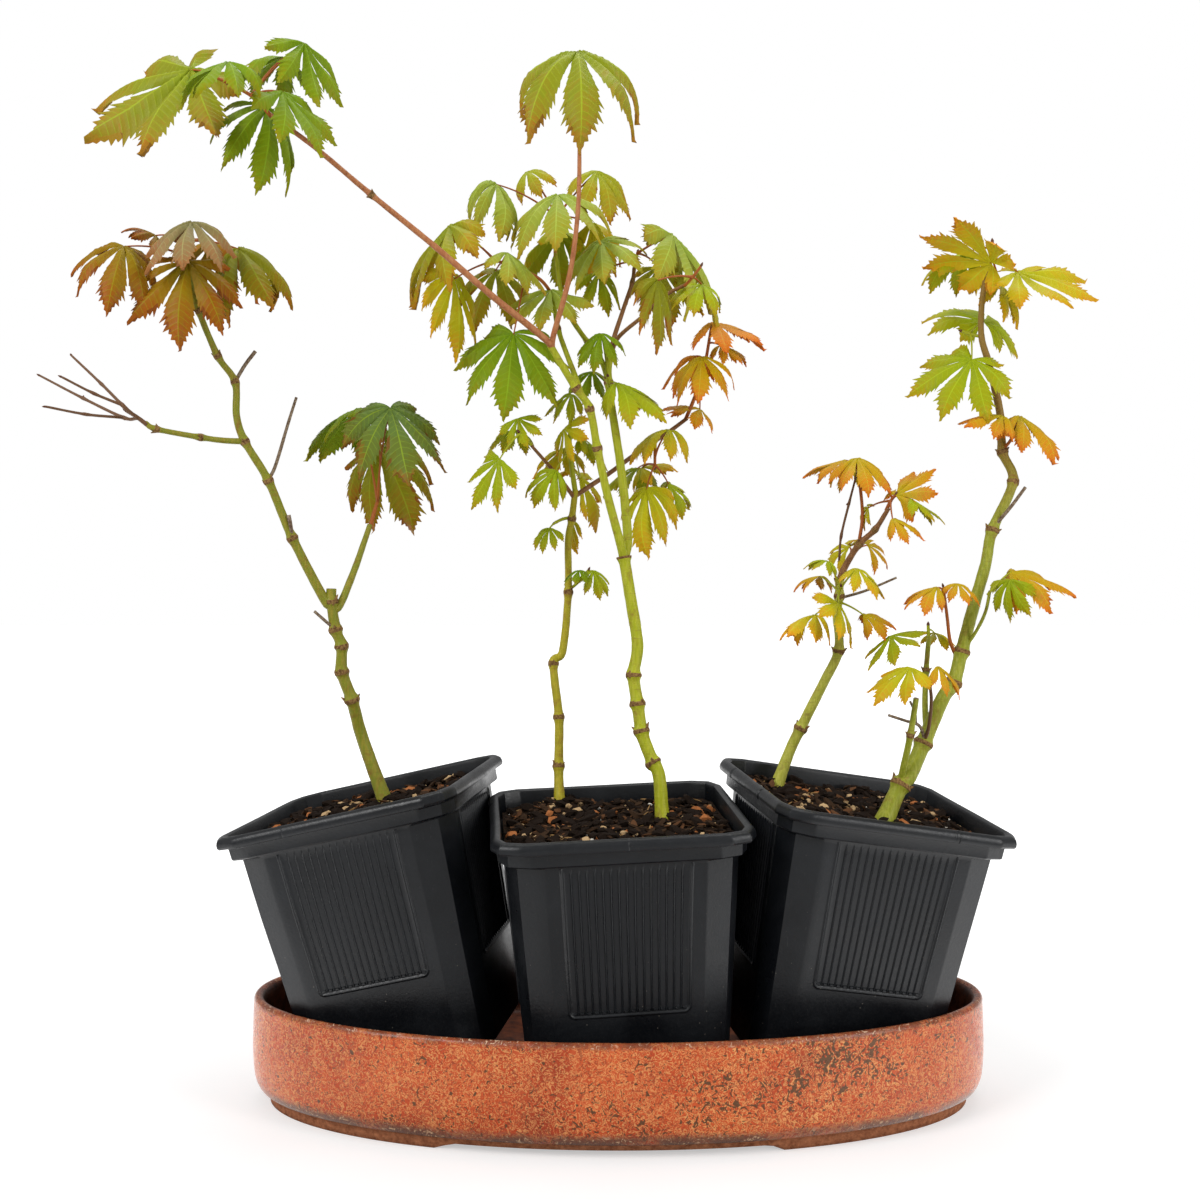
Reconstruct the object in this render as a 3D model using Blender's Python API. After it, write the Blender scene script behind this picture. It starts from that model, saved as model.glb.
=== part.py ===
"""A forest bonsai: five young Japanese maples in three square nursery pots,
the pots leaning together in one oval glazed tray.

Metres, +Z up. The origin is the middle of the tray's footprint, at the level it stands on,
and -Y is the front. Points of limbs and leaves are written in millimetres. At the end the whole
is moved level so that its bounding box stands centred over the origin.
"""
import math
import random

import bmesh
import bpy
from mathutils import Euler, Matrix, Vector
from mathutils.bvhtree import BVHTree

MM = 0.001
GAP = 0.0003                  # left between neighbouring pieces

# Oval tray
TRAY_HALF_LENGTH = 0.1933
TRAY_HALF_WIDTH = 0.0967
TRAY_HEIGHT = 0.0555
TRAY_FLOOR = 0.018
TRAY_SEGMENTS = 36
FOOT_HEIGHT = 0.0060
FOOT_GAP_LENGTH = 0.172       # the foot band is cut away between its two ends
FOOT_GAP_HEIGHT = 0.0030

# Square nursery pot, measured from the middle of its rim down
POT_HALF_RIM = 0.0637
POT_HALF_COLLAR = 0.0599
POT_HALF_BODY = 0.0571
POT_HALF_BASE = 0.0491
POT_HEIGHT = 0.1315
POT_WALL = 0.0015
LIP_HEIGHT = 0.0060
COLLAR_HEIGHT = 0.0130
CORNER_SEGMENTS = 3
SOIL_DEPTH = 0.0080

# Seats of the pots: middle of the rim in millimetres, then turn, tip and lean in degrees
POT_SEATS = {
    "left": ((-133.8, -0.5, 158.7), -9.1, -0.1, -13.4),
    "middle": ((-2.2, -28.5, 154.7), 4.5, 4.1, -1.9),
    "right": ((127.8, -6.1, 158.9), 11.6, 3.2, 9.9),
}

# Stems
TRUNK_SIDES = 8
BOUGH_SIDES = 6
STEM_SIDES = 5
PETIOLE_SIDES = 3
RING_SPACING = 0.020
NODE_SWELL = 1.22             # a node's radius over the stem's
NODE_HALF_LENGTH = 0.0022
ROOT_FLARE = 0.22
ROOT_FLARE_LENGTH = 0.007

# Leaves
LOBES = ((0.0, 1.0), (38.0, 0.93), (78.0, 0.72), (122.0, 0.42))   # angle, share of the length
BROAD_LEAF = 0.040            # from this length on a leaf has hind lobes
LOBE_HALF_WIDTH = 0.158
LOBE_SHOULDER = 0.52
NOTCH_RADIUS = 0.31
LEAF_THICKNESS = 0.0010
PETIOLE_RADIUS = 0.0008
PETIOLE_POINTS = 4
PETIOLE_SINK = 0.03           # share of the leaf's length that the petiole runs into the blade
SHIFTS = (0, -3, 3, -6, 6, -9, 9, -12, 12, -16, 16, -20, 20)     # mm along Y, tried in turn
SEED = 11

COLORS = {
    "glaze": ((0.52, 0.12, 0.035), 0.35),
    "plastic": ((0.02, 0.021, 0.023), 0.45),
    "soil": ((0.045, 0.026, 0.016), 0.95),
    "green_bark": ((0.30, 0.34, 0.06), 0.55),
    "brown_bark": ((0.22, 0.10, 0.05), 0.6),
    "green_leaf": ((0.25, 0.42, 0.03), 0.5),
    "orange_leaf": ((0.62, 0.27, 0.04), 0.5),
    "copper_leaf": ((0.35, 0.13, 0.03), 0.55),
}


def clear_scene():
    """Remove everything that the file opened with."""
    for item in list(bpy.data.objects):
        bpy.data.objects.remove(item, do_unlink=True)


def make_material(name):
    color, roughness = COLORS[name]
    material = bpy.data.materials.new(name)
    material.use_nodes = True
    shader = material.node_tree.nodes["Principled BSDF"]
    shader.inputs["Base Color"].default_value = (*color, 1.0)
    shader.inputs["Roughness"].default_value = roughness
    shader.inputs["Metallic"].default_value = 0.0
    return material


def make_object(name, mesh, material=None):
    item = bpy.data.objects.new(name, mesh)
    bpy.context.scene.collection.objects.link(item)
    if material:
        mesh.materials.append(material)
    return item


def stack_rings(name, rings):
    """Join closed rings of equal counts into a solid, with its first and last rings capped."""
    mesh = bpy.data.meshes.new(name)
    bm = bmesh.new()
    loops = [[bm.verts.new(point) for point in ring] for ring in rings]
    count = len(loops[0])
    for low, high in zip(loops, loops[1:]):
        for i in range(count):
            j = (i + 1) % count
            bm.faces.new((low[i], low[j], high[j], high[i]))
    bm.faces.new(list(reversed(loops[0])))
    bm.faces.new(loops[-1])
    bmesh.ops.recalc_face_normals(bm, faces=bm.faces)
    bm.to_mesh(mesh)
    bm.free()
    return mesh


def apply_boolean(item, operation, operand=None, collection=None):
    """Apply one Boolean to the item, by an object or a collection."""
    modifier = item.modifiers.new("join", "BOOLEAN")
    modifier.solver = "EXACT"
    modifier.operation = operation
    if collection:
        modifier.operand_type = "COLLECTION"
        modifier.collection = collection
    else:
        modifier.object = operand
    graph = bpy.context.evaluated_depsgraph_get()
    mesh = bpy.data.meshes.new_from_object(item.evaluated_get(graph))
    item.modifiers.remove(modifier)
    materials = list(item.data.materials)
    item.data = mesh
    item.data.materials.clear()
    for material in materials:
        item.data.materials.append(material)
    for face in item.data.polygons:
        face.material_index = 0


def keep_largest_body(item):
    """Drop the loose scraps that a Boolean leaves."""
    bm = bmesh.new()
    bm.from_mesh(item.data)
    bm.verts.ensure_lookup_table()
    unseen = set(bm.verts)
    islands = []
    while unseen:
        island = {unseen.pop()}
        edge_of_island = list(island)
        while edge_of_island:
            vert = edge_of_island.pop()
            for edge in vert.link_edges:
                other = edge.other_vert(vert)
                if other in unseen:
                    unseen.remove(other)
                    island.add(other)
                    edge_of_island.append(other)
        islands.append(island)
    islands.sort(key=len, reverse=True)
    scraps = [vert for island in islands[1:] for vert in island]
    bmesh.ops.delete(bm, geom=scraps, context="VERTS")
    bm.to_mesh(item.data)
    bm.free()


# Tray and pots

def ellipse_ring(inset, height):
    ring = []
    for i in range(TRAY_SEGMENTS):
        angle = 2 * math.pi * (i + 0.5) / TRAY_SEGMENTS
        ring.append(Vector(((TRAY_HALF_LENGTH - inset) * math.cos(angle),
                            (TRAY_HALF_WIDTH - inset) * math.sin(angle), height)))
    return ring


def build_tray():
    """An oval dish on a low foot band, with a rounded rim."""
    rim = TRAY_HEIGHT
    profile = (
        (0.0200, FOOT_HEIGHT), (0.0190, 0.0), (0.0090, 0.0), (0.0080, FOOT_HEIGHT),
        (0.0055, FOOT_HEIGHT + 0.0005), (0.0024, 0.0095), (0.0007, 0.0150), (0.0, 0.0280),
        (0.0006, rim - 0.0050), (0.0012, rim - 0.0015), (0.0030, rim), (0.0052, rim - 0.0004),
        (0.0066, rim - 0.0030), (0.0074, 0.0300), (0.0085, TRAY_FLOOR + 0.0035),
        (0.0115, TRAY_FLOOR),
    )
    rings = [ellipse_ring(inset, height) for inset, height in profile]
    tray = make_object("tray", stack_rings("tray", rings), make_material("glaze"))
    bpy.ops.mesh.primitive_cube_add(size=1.0, location=(0.0, 0.0, FOOT_GAP_HEIGHT / 2 - 0.005))
    cutter = bpy.context.active_object
    cutter.scale = (FOOT_GAP_LENGTH, 2.4 * TRAY_HALF_WIDTH, FOOT_GAP_HEIGHT + 0.010)
    apply_boolean(tray, "DIFFERENCE", operand=cutter)
    bpy.data.objects.remove(cutter, do_unlink=True)


def square_ring(half, corner, height):
    """A square with rounded or chamfered corners, seen from above, at a height."""
    ring = []
    for quarter in range(4):
        turn = math.radians(90 * quarter)
        for step in range(CORNER_SEGMENTS + 1):
            angle = math.radians(90 * step / CORNER_SEGMENTS)
            x = half - corner + corner * math.cos(angle)
            y = half - corner + corner * math.sin(angle)
            ring.append(Vector((x * math.cos(turn) - y * math.sin(turn),
                                x * math.sin(turn) + y * math.cos(turn), height)))
    return ring


def pot_inside(height):
    """Half-width of the hollow of a pot at a height below its rim."""
    if height > -COLLAR_HEIGHT:
        return POT_HALF_COLLAR - POT_WALL
    depth = (-height - COLLAR_HEIGHT) / (POT_HEIGHT - COLLAR_HEIGHT)
    return POT_HALF_BODY - POT_WALL - depth * (POT_HALF_BODY - POT_HALF_BASE)


def build_pot(name, seat):
    """A tapered square pot with a rolled lip, a collar band and chamfered corners."""
    floor = -POT_HEIGHT + POT_WALL
    rings = [
        square_ring(POT_HALF_BASE - 0.0015, 0.0120, -POT_HEIGHT),
        square_ring(POT_HALF_BASE, 0.0125, -POT_HEIGHT + 0.0015),
        square_ring(POT_HALF_BODY, 0.0150, -COLLAR_HEIGHT - 0.0010),
        square_ring(POT_HALF_COLLAR - 0.0002, 0.0120, -COLLAR_HEIGHT),
        square_ring(POT_HALF_COLLAR, 0.0120, -LIP_HEIGHT - 0.0006),
        square_ring(POT_HALF_RIM - 0.0006, 0.0130, -LIP_HEIGHT),
        square_ring(POT_HALF_RIM, 0.0134, -LIP_HEIGHT + 0.0012),
        square_ring(POT_HALF_RIM, 0.0134, -0.0018),
        square_ring(POT_HALF_RIM - 0.0016, 0.0128, 0.0),
        square_ring(POT_HALF_COLLAR - POT_WALL + 0.0012, 0.0116, 0.0),
        square_ring(pot_inside(-0.0012), 0.0110, -0.0014),
        square_ring(pot_inside(-0.0012), 0.0110, -COLLAR_HEIGHT + 0.0002),
        square_ring(POT_HALF_BODY - POT_WALL, 0.0140, -COLLAR_HEIGHT - 0.0012),
        square_ring(pot_inside(floor), 0.0115, floor),
    ]
    pot = make_object(name, stack_rings(name, rings), make_material("plastic"))
    pot.parent = seat


def build_soil(name, seat, mounds):
    """The soil that fills a pot, with a low flat-topped mound under each stem."""
    top = -SOIL_DEPTH
    below_collar = -COLLAR_HEIGHT - 0.0016
    floor = -POT_HEIGHT + POT_WALL + GAP
    rings = [
        square_ring(pot_inside(floor) - GAP, 0.0112, floor),
        square_ring(pot_inside(below_collar) - GAP, 0.0137, below_collar),
        square_ring(pot_inside(below_collar) - GAP, 0.0137, -COLLAR_HEIGHT),
        square_ring(pot_inside(below_collar), 0.0110, top),
    ]
    soil = make_object(name, stack_rings(name, rings), make_material("soil"))
    for x, y, height in mounds:
        if height <= 0.0:
            continue
        reach = 0.0085 + 0.9 * height
        bpy.ops.mesh.primitive_cone_add(vertices=10, radius1=reach, radius2=0.0065, depth=height + 0.004,
                                        location=(x, y, top + height / 2 - 0.002))
        mound = bpy.context.active_object
        apply_boolean(soil, "UNION", operand=mound)
        bpy.data.objects.remove(mound, do_unlink=True)
    soil.parent = seat


# Stems, boughs and twigs

def smooth_path(points, spacing, nodes=()):
    """Points along a smooth curve through the given ones, closer about each node.

    Returns (point, swelling) pairs, the swelling being 1 at a node and 0 between nodes.
    """
    points = [Vector(point) for point in points]
    ends = [2 * points[0] - points[1], *points, 2 * points[-1] - points[-2]]
    fine = []
    marks = []
    steps = 12
    for i in range(len(points) - 1):
        a, b, c, d = ends[i:i + 4]
        marks.append(len(fine))
        for step in range(steps):
            t = step / steps
            fine.append(0.5 * (2 * b + (c - a) * t + (2 * a - 5 * b + 4 * c - d) * t * t
                               + (3 * b - a - 3 * c + d) * t ** 3))
    marks.append(len(fine))
    fine.append(points[-1])
    along = [0.0]
    for a, b in zip(fine, fine[1:]):
        along.append(along[-1] + (b - a).length)
    total = along[-1]
    places = [(0.0, 0.0), (total, 0.0)]
    for index in nodes:
        middle = along[marks[index]]
        for offset, swell in ((-NODE_HALF_LENGTH, 0.0), (0.0, 1.0), (NODE_HALF_LENGTH, 0.0)):
            if NODE_HALF_LENGTH * 0.6 < middle + offset < total - NODE_HALF_LENGTH * 0.6:
                places.append((middle + offset, swell))
    count = max(1, round(total / spacing))
    for step in range(1, count):
        place = total * step / count
        if min(abs(place - other[0]) for other in places) > 2.5 * NODE_HALF_LENGTH:
            places.append((place, 0.0))
    samples = []
    for place, swell in sorted(places):
        i = max(k for k in range(len(along)) if along[k] <= place + 1e-9)
        i = min(i, len(fine) - 2)
        share = (place - along[i]) / max(along[i + 1] - along[i], 1e-9)
        samples.append((fine[i].lerp(fine[i + 1], share), swell, place / total))
    return samples


def tube_rings(samples, start_radius, end_radius, sides, grow=0.0, foot_normal=None, flare=0.0):
    """Rings of a tapering tube, kept from twisting, with its nodes swollen."""
    rings = []
    side_axis = None
    centres = [sample[0] for sample in samples]
    length = sum((b - a).length for a, b in zip(centres, centres[1:]))
    for i, (centre, swell, share) in enumerate(samples):
        ahead = centres[min(i + 1, len(centres) - 1)] - centres[max(i - 1, 0)]
        tangent = ahead.normalized()
        if i == 0 and foot_normal is not None:
            tangent = foot_normal.normalized()
        if side_axis is None:
            side_axis = tangent.orthogonal().normalized()
        side_axis = (side_axis - tangent * side_axis.dot(tangent)).normalized()
        other_axis = tangent.cross(side_axis)
        radius = start_radius + (end_radius - start_radius) * share
        radius *= 1 + (NODE_SWELL - 1) * swell
        radius *= 1 + flare * math.exp(-share * length / ROOT_FLARE_LENGTH)
        radius += grow
        if grow and i in (0, len(samples) - 1):
            centre = centre + tangent * (grow if i else -grow)
        ring = []
        for k in range(sides):
            angle = 2 * math.pi * k / sides
            ring.append(centre + (side_axis * math.cos(angle) + other_axis * math.sin(angle)) * radius)
        rings.append(ring)
    return rings


class Limb:
    """One tapering trunk or bough: its route, its radii at both ends and its nodes."""

    def __init__(self, points, radii, nodes=(), sides=BOUGH_SIDES, clear_of=(), stubs=(),
                 pot=None, foot=None, bark="green_bark"):
        self.points = [Vector(point) * MM for point in points]
        self.radii = [radius * MM for radius in radii]
        self.nodes = nodes
        self.sides = sides
        self.clear_of = clear_of
        self.stubs = stubs
        self.foot_normal = None
        self.flare = 0.0
        self.bark = bark
        if pot:
            x, y, mound = foot
            seat = seat_matrix(pot)
            self.points.insert(0, seat @ Vector((x, y, -SOIL_DEPTH + mound + GAP)))
            self.foot_normal = seat.to_3x3() @ Vector((0.0, 0.0, 1.0))
            self.flare = ROOT_FLARE

    def rings(self, grow=0.0):
        samples = smooth_path(self.points, RING_SPACING, self.nodes)
        return tube_rings(samples, *self.radii, self.sides, grow, self.foot_normal, self.flare)

    def build(self, name, limbs):
        item = make_object(name, stack_rings(name, self.rings()), make_material(self.bark))
        for route, *radii in self.stubs:
            samples = smooth_path([Vector(point) * MM for point in route], RING_SPACING)
            rings = tube_rings(samples, *[radius * MM for radius in radii], STEM_SIDES)
            stub = make_object("stub", stack_rings("stub", rings))
            apply_boolean(item, "UNION", operand=stub)
            bpy.data.objects.remove(stub, do_unlink=True)
        trim(item, self.clear_of, limbs)
        return item


def trim(item, names, limbs):
    """Cut the item back to a small gap from each limb that it springs from."""
    for name in names:
        cutter = make_object("cutter", stack_rings("cutter", limbs[name].rings(GAP)))
        apply_boolean(item, "DIFFERENCE", operand=cutter)
        bpy.data.objects.remove(cutter, do_unlink=True)
    keep_largest_body(item)


# Leaves

class Leaf:
    """A palmate leaf: where its petiole ends (mm), the way its middle lobe points, and its size.

    heading is the compass turn of the middle lobe from +X, and hang is its slope below level, in
    degrees. curl is how far each lobe bends down to its tip, in radians, and roll tips the blade
    sideways about its middle lobe, in degrees.
    """

    def __init__(self, x, y, z, heading, hang, length, curl=0.7, roll=0.0):
        self.at = Vector((x, y, z)) * MM
        self.length = length * MM
        self.curl = curl
        heading = math.radians(heading)
        hang = math.radians(hang)
        forward = Vector((math.cos(heading) * math.cos(hang), math.sin(heading) * math.cos(hang),
                          -math.sin(hang)))
        side = Vector((-math.sin(heading), math.cos(heading), 0.0))
        turn = Matrix.Rotation(math.radians(roll), 3, forward)
        side = turn @ side
        self.axes = (forward, side, forward.cross(side))

    def moved(self, shift):
        """The same leaf, set nearer to the front or the back by a shift in mm."""
        copy = Leaf.__new__(Leaf)
        copy.__dict__.update(self.__dict__)
        copy.at = self.at + Vector((0.0, shift * MM, 0.0))
        return copy

    def place(self, radius, angle, lift=0.0):
        """The point at a radius (as a share of the length) and an angle on the curled blade."""
        bend = self.curl * radius
        run = math.sin(bend) / self.curl
        drop = (1 - math.cos(bend)) / self.curl
        forward, side, up = self.axes
        flat = forward * math.cos(angle) + side * math.sin(angle)
        normal = up * math.cos(bend) + flat * math.sin(bend)
        return self.at + (flat * run - up * drop) * self.length + normal * lift

    def mesh(self, rng):
        """A closed blade with a sharp edge, thickest along the middle of each lobe."""
        lobes = LOBES if self.length >= BROAD_LEAF else LOBES[:3]
        spread = sorted({(side * angle, share) for angle, share in lobes for side in (-1, 1)})
        bm = bmesh.new()
        half = LEAF_THICKNESS / 2
        hub = [bm.verts.new(self.place(0.0, 0.0, lift)) for lift in (half, -half)]
        notches = []
        for i in range(len(spread) + 1):
            if i in (0, len(spread)):
                outer = spread[0][0] - 30.0 if i == 0 else spread[-1][0] + 30.0
                notches.append(bm.verts.new(self.place(0.10, math.radians(outer))))
            else:
                between = (spread[i - 1][0] + spread[i][0]) / 2
                smaller = min(spread[i - 1][1], spread[i][1])
                notches.append(bm.verts.new(self.place(NOTCH_RADIUS * (0.4 + 0.6 * smaller),
                                                       math.radians(between))))
        for i, (angle, share) in enumerate(spread):
            reach = share * rng.uniform(0.94, 1.04)
            sway = math.radians(rng.uniform(-1.5, 1.5))
            middle = math.radians(angle) + sway
            width = LOBE_HALF_WIDTH * reach / (LOBE_SHOULDER * reach)
            shoulder = LOBE_SHOULDER * reach
            left = bm.verts.new(self.place(shoulder, middle - width * 0.95))
            right = bm.verts.new(self.place(shoulder, middle + width * 0.95))
            tip = bm.verts.new(self.place(reach, middle))
            outline = (notches[i], left, tip, right, notches[i + 1])
            rib = bm.verts.new(self.place(shoulder, middle, half))
            for a, b in zip((hub[0], *outline), (*outline, hub[0])):
                bm.faces.new((rib, b, a))
            bm.faces.new((hub[1], notches[i], left))
            bm.faces.new((hub[1], left, right))
            bm.faces.new((left, tip, right))
            bm.faces.new((hub[1], right, notches[i + 1]))
        bm.faces.new((hub[0], notches[0], hub[1]))
        bm.faces.new((hub[1], notches[-1], hub[0]))
        bmesh.ops.recalc_face_normals(bm, faces=bm.faces)
        mesh = bpy.data.meshes.new("leaf")
        bm.to_mesh(mesh)
        bm.free()
        return mesh

    def petiole(self, start, rng):
        """Points from a stem to inside the blade, bowed up a little."""
        end = self.place(PETIOLE_SINK, rng.uniform(0.1, 0.25))
        start = start + Vector([rng.uniform(-0.0002, 0.0002) for _ in range(3)])
        span = (end - start).length
        rise = Vector((rng.uniform(-0.04, 0.04), rng.uniform(-0.04, 0.04), 0.12)) * span
        middle = start.lerp(end, 0.5) + rise
        route = []
        for step in range(PETIOLE_POINTS):
            t = step / (PETIOLE_POINTS - 1)
            route.append((start * (1 - t) ** 2 + middle * 2 * t * (1 - t) + end * t * t, 0.0, t))
        return route


class Mass:
    """A spray: one stem springing from a limb, side twigs, and leaves on their petioles."""

    def __init__(self, stem, radii, clear_of, leaves=(), twigs=(), color="green_leaf"):
        self.stem = [Vector(point) * MM for point in stem]
        self.radii = [radius * MM for radius in radii]
        self.clear_of = clear_of
        self.leaves = leaves
        self.twigs = twigs
        self.color = color

    def root_of(self, leaf):
        """The point of the outer half of the stem that is nearest to a leaf."""
        spans = zip(self.stem, self.stem[1:])
        points = [a.lerp(b, step / 8) for a, b in spans for step in range(8)]
        free = points[len(points) // 2:]
        return min(free, key=lambda point: (point - leaf.at).length)

    def grow(self, leaf, rng):
        """The blade and the petiole of one leaf, as two closed meshes."""
        blade = leaf.mesh(rng)
        route = leaf.petiole(self.root_of(leaf), rng)
        rings = tube_rings(route, PETIOLE_RADIUS, PETIOLE_RADIUS * 0.45, PETIOLE_SIDES)
        return blade, stack_rings("petiole", rings)

    def build(self, name, limbs, taken):
        rings = tube_rings(smooth_path(self.stem, RING_SPACING), *self.radii, STEM_SIDES)
        item = make_object(name, stack_rings(name, rings), make_material(self.color))
        parts = bpy.data.collections.new("parts")
        bpy.context.scene.collection.children.link(parts)
        pieces = []
        for route, *radii in self.twigs:
            samples = smooth_path([Vector(point) * MM for point in route], RING_SPACING)
            rings = tube_rings(samples, *[radius * MM for radius in radii], PETIOLE_SIDES + 1)
            pieces.append(stack_rings("twig", rings))
        blades = []
        petioles = []
        for index, leaf in enumerate(self.leaves):
            for shift in SHIFTS:
                rng = random.Random(f"{SEED} {name} {index}")
                blade, petiole = self.grow(leaf.moved(shift), rng)
                if touches(blade, taken + blades + petioles) or touches(petiole, taken + blades):
                    continue
                pieces += [blade, petiole]
                blades.append(surface_of(blade))
                petioles.append(surface_of(petiole))
                break
        for mesh in pieces:
            piece = bpy.data.objects.new("piece", mesh)
            parts.objects.link(piece)
        apply_boolean(item, "UNION", collection=parts)
        for piece in list(parts.objects):
            bpy.data.objects.remove(piece, do_unlink=True)
        bpy.data.collections.remove(parts)
        trim(item, self.clear_of, limbs)
        return item


def surface_of(mesh):
    return BVHTree.FromPolygons([vert.co for vert in mesh.vertices],
                                [face.vertices for face in mesh.polygons])


def touches(mesh, taken):
    """Whether the mesh cuts the surface of any solid already standing."""
    surface = surface_of(mesh)
    return any(surface.overlap(other) for other in taken)


def seat_matrix(pot):
    middle, turn, tip, lean = POT_SEATS[pot]
    rotation = Euler((math.radians(tip), math.radians(lean), math.radians(turn)), "ZXY")
    return Matrix.Translation(Vector(middle) * MM) @ rotation.to_matrix().to_4x4()


# Feet of the trunks: place in the pot, and height of the soil's mound there, in metres
FEET = {
    "left_trunk": ("left", (0.003, 0.020, 0.0)),
    "slender_trunk": ("middle", (-0.026, 0.043, 0.0040)),
    "tall_trunk": ("middle", (0.025, 0.005, 0.0)),
    "short_trunk": ("right", (-0.032, 0.042, 0.0)),
    "stout_trunk": ("right", (0.005, -0.022, 0.0)),
}


def trunk(name, points, radii, **details):
    pot, foot = FEET[name]
    return Limb(points, radii, sides=TRUNK_SIDES, pot=pot, foot=foot, **details)


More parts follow.
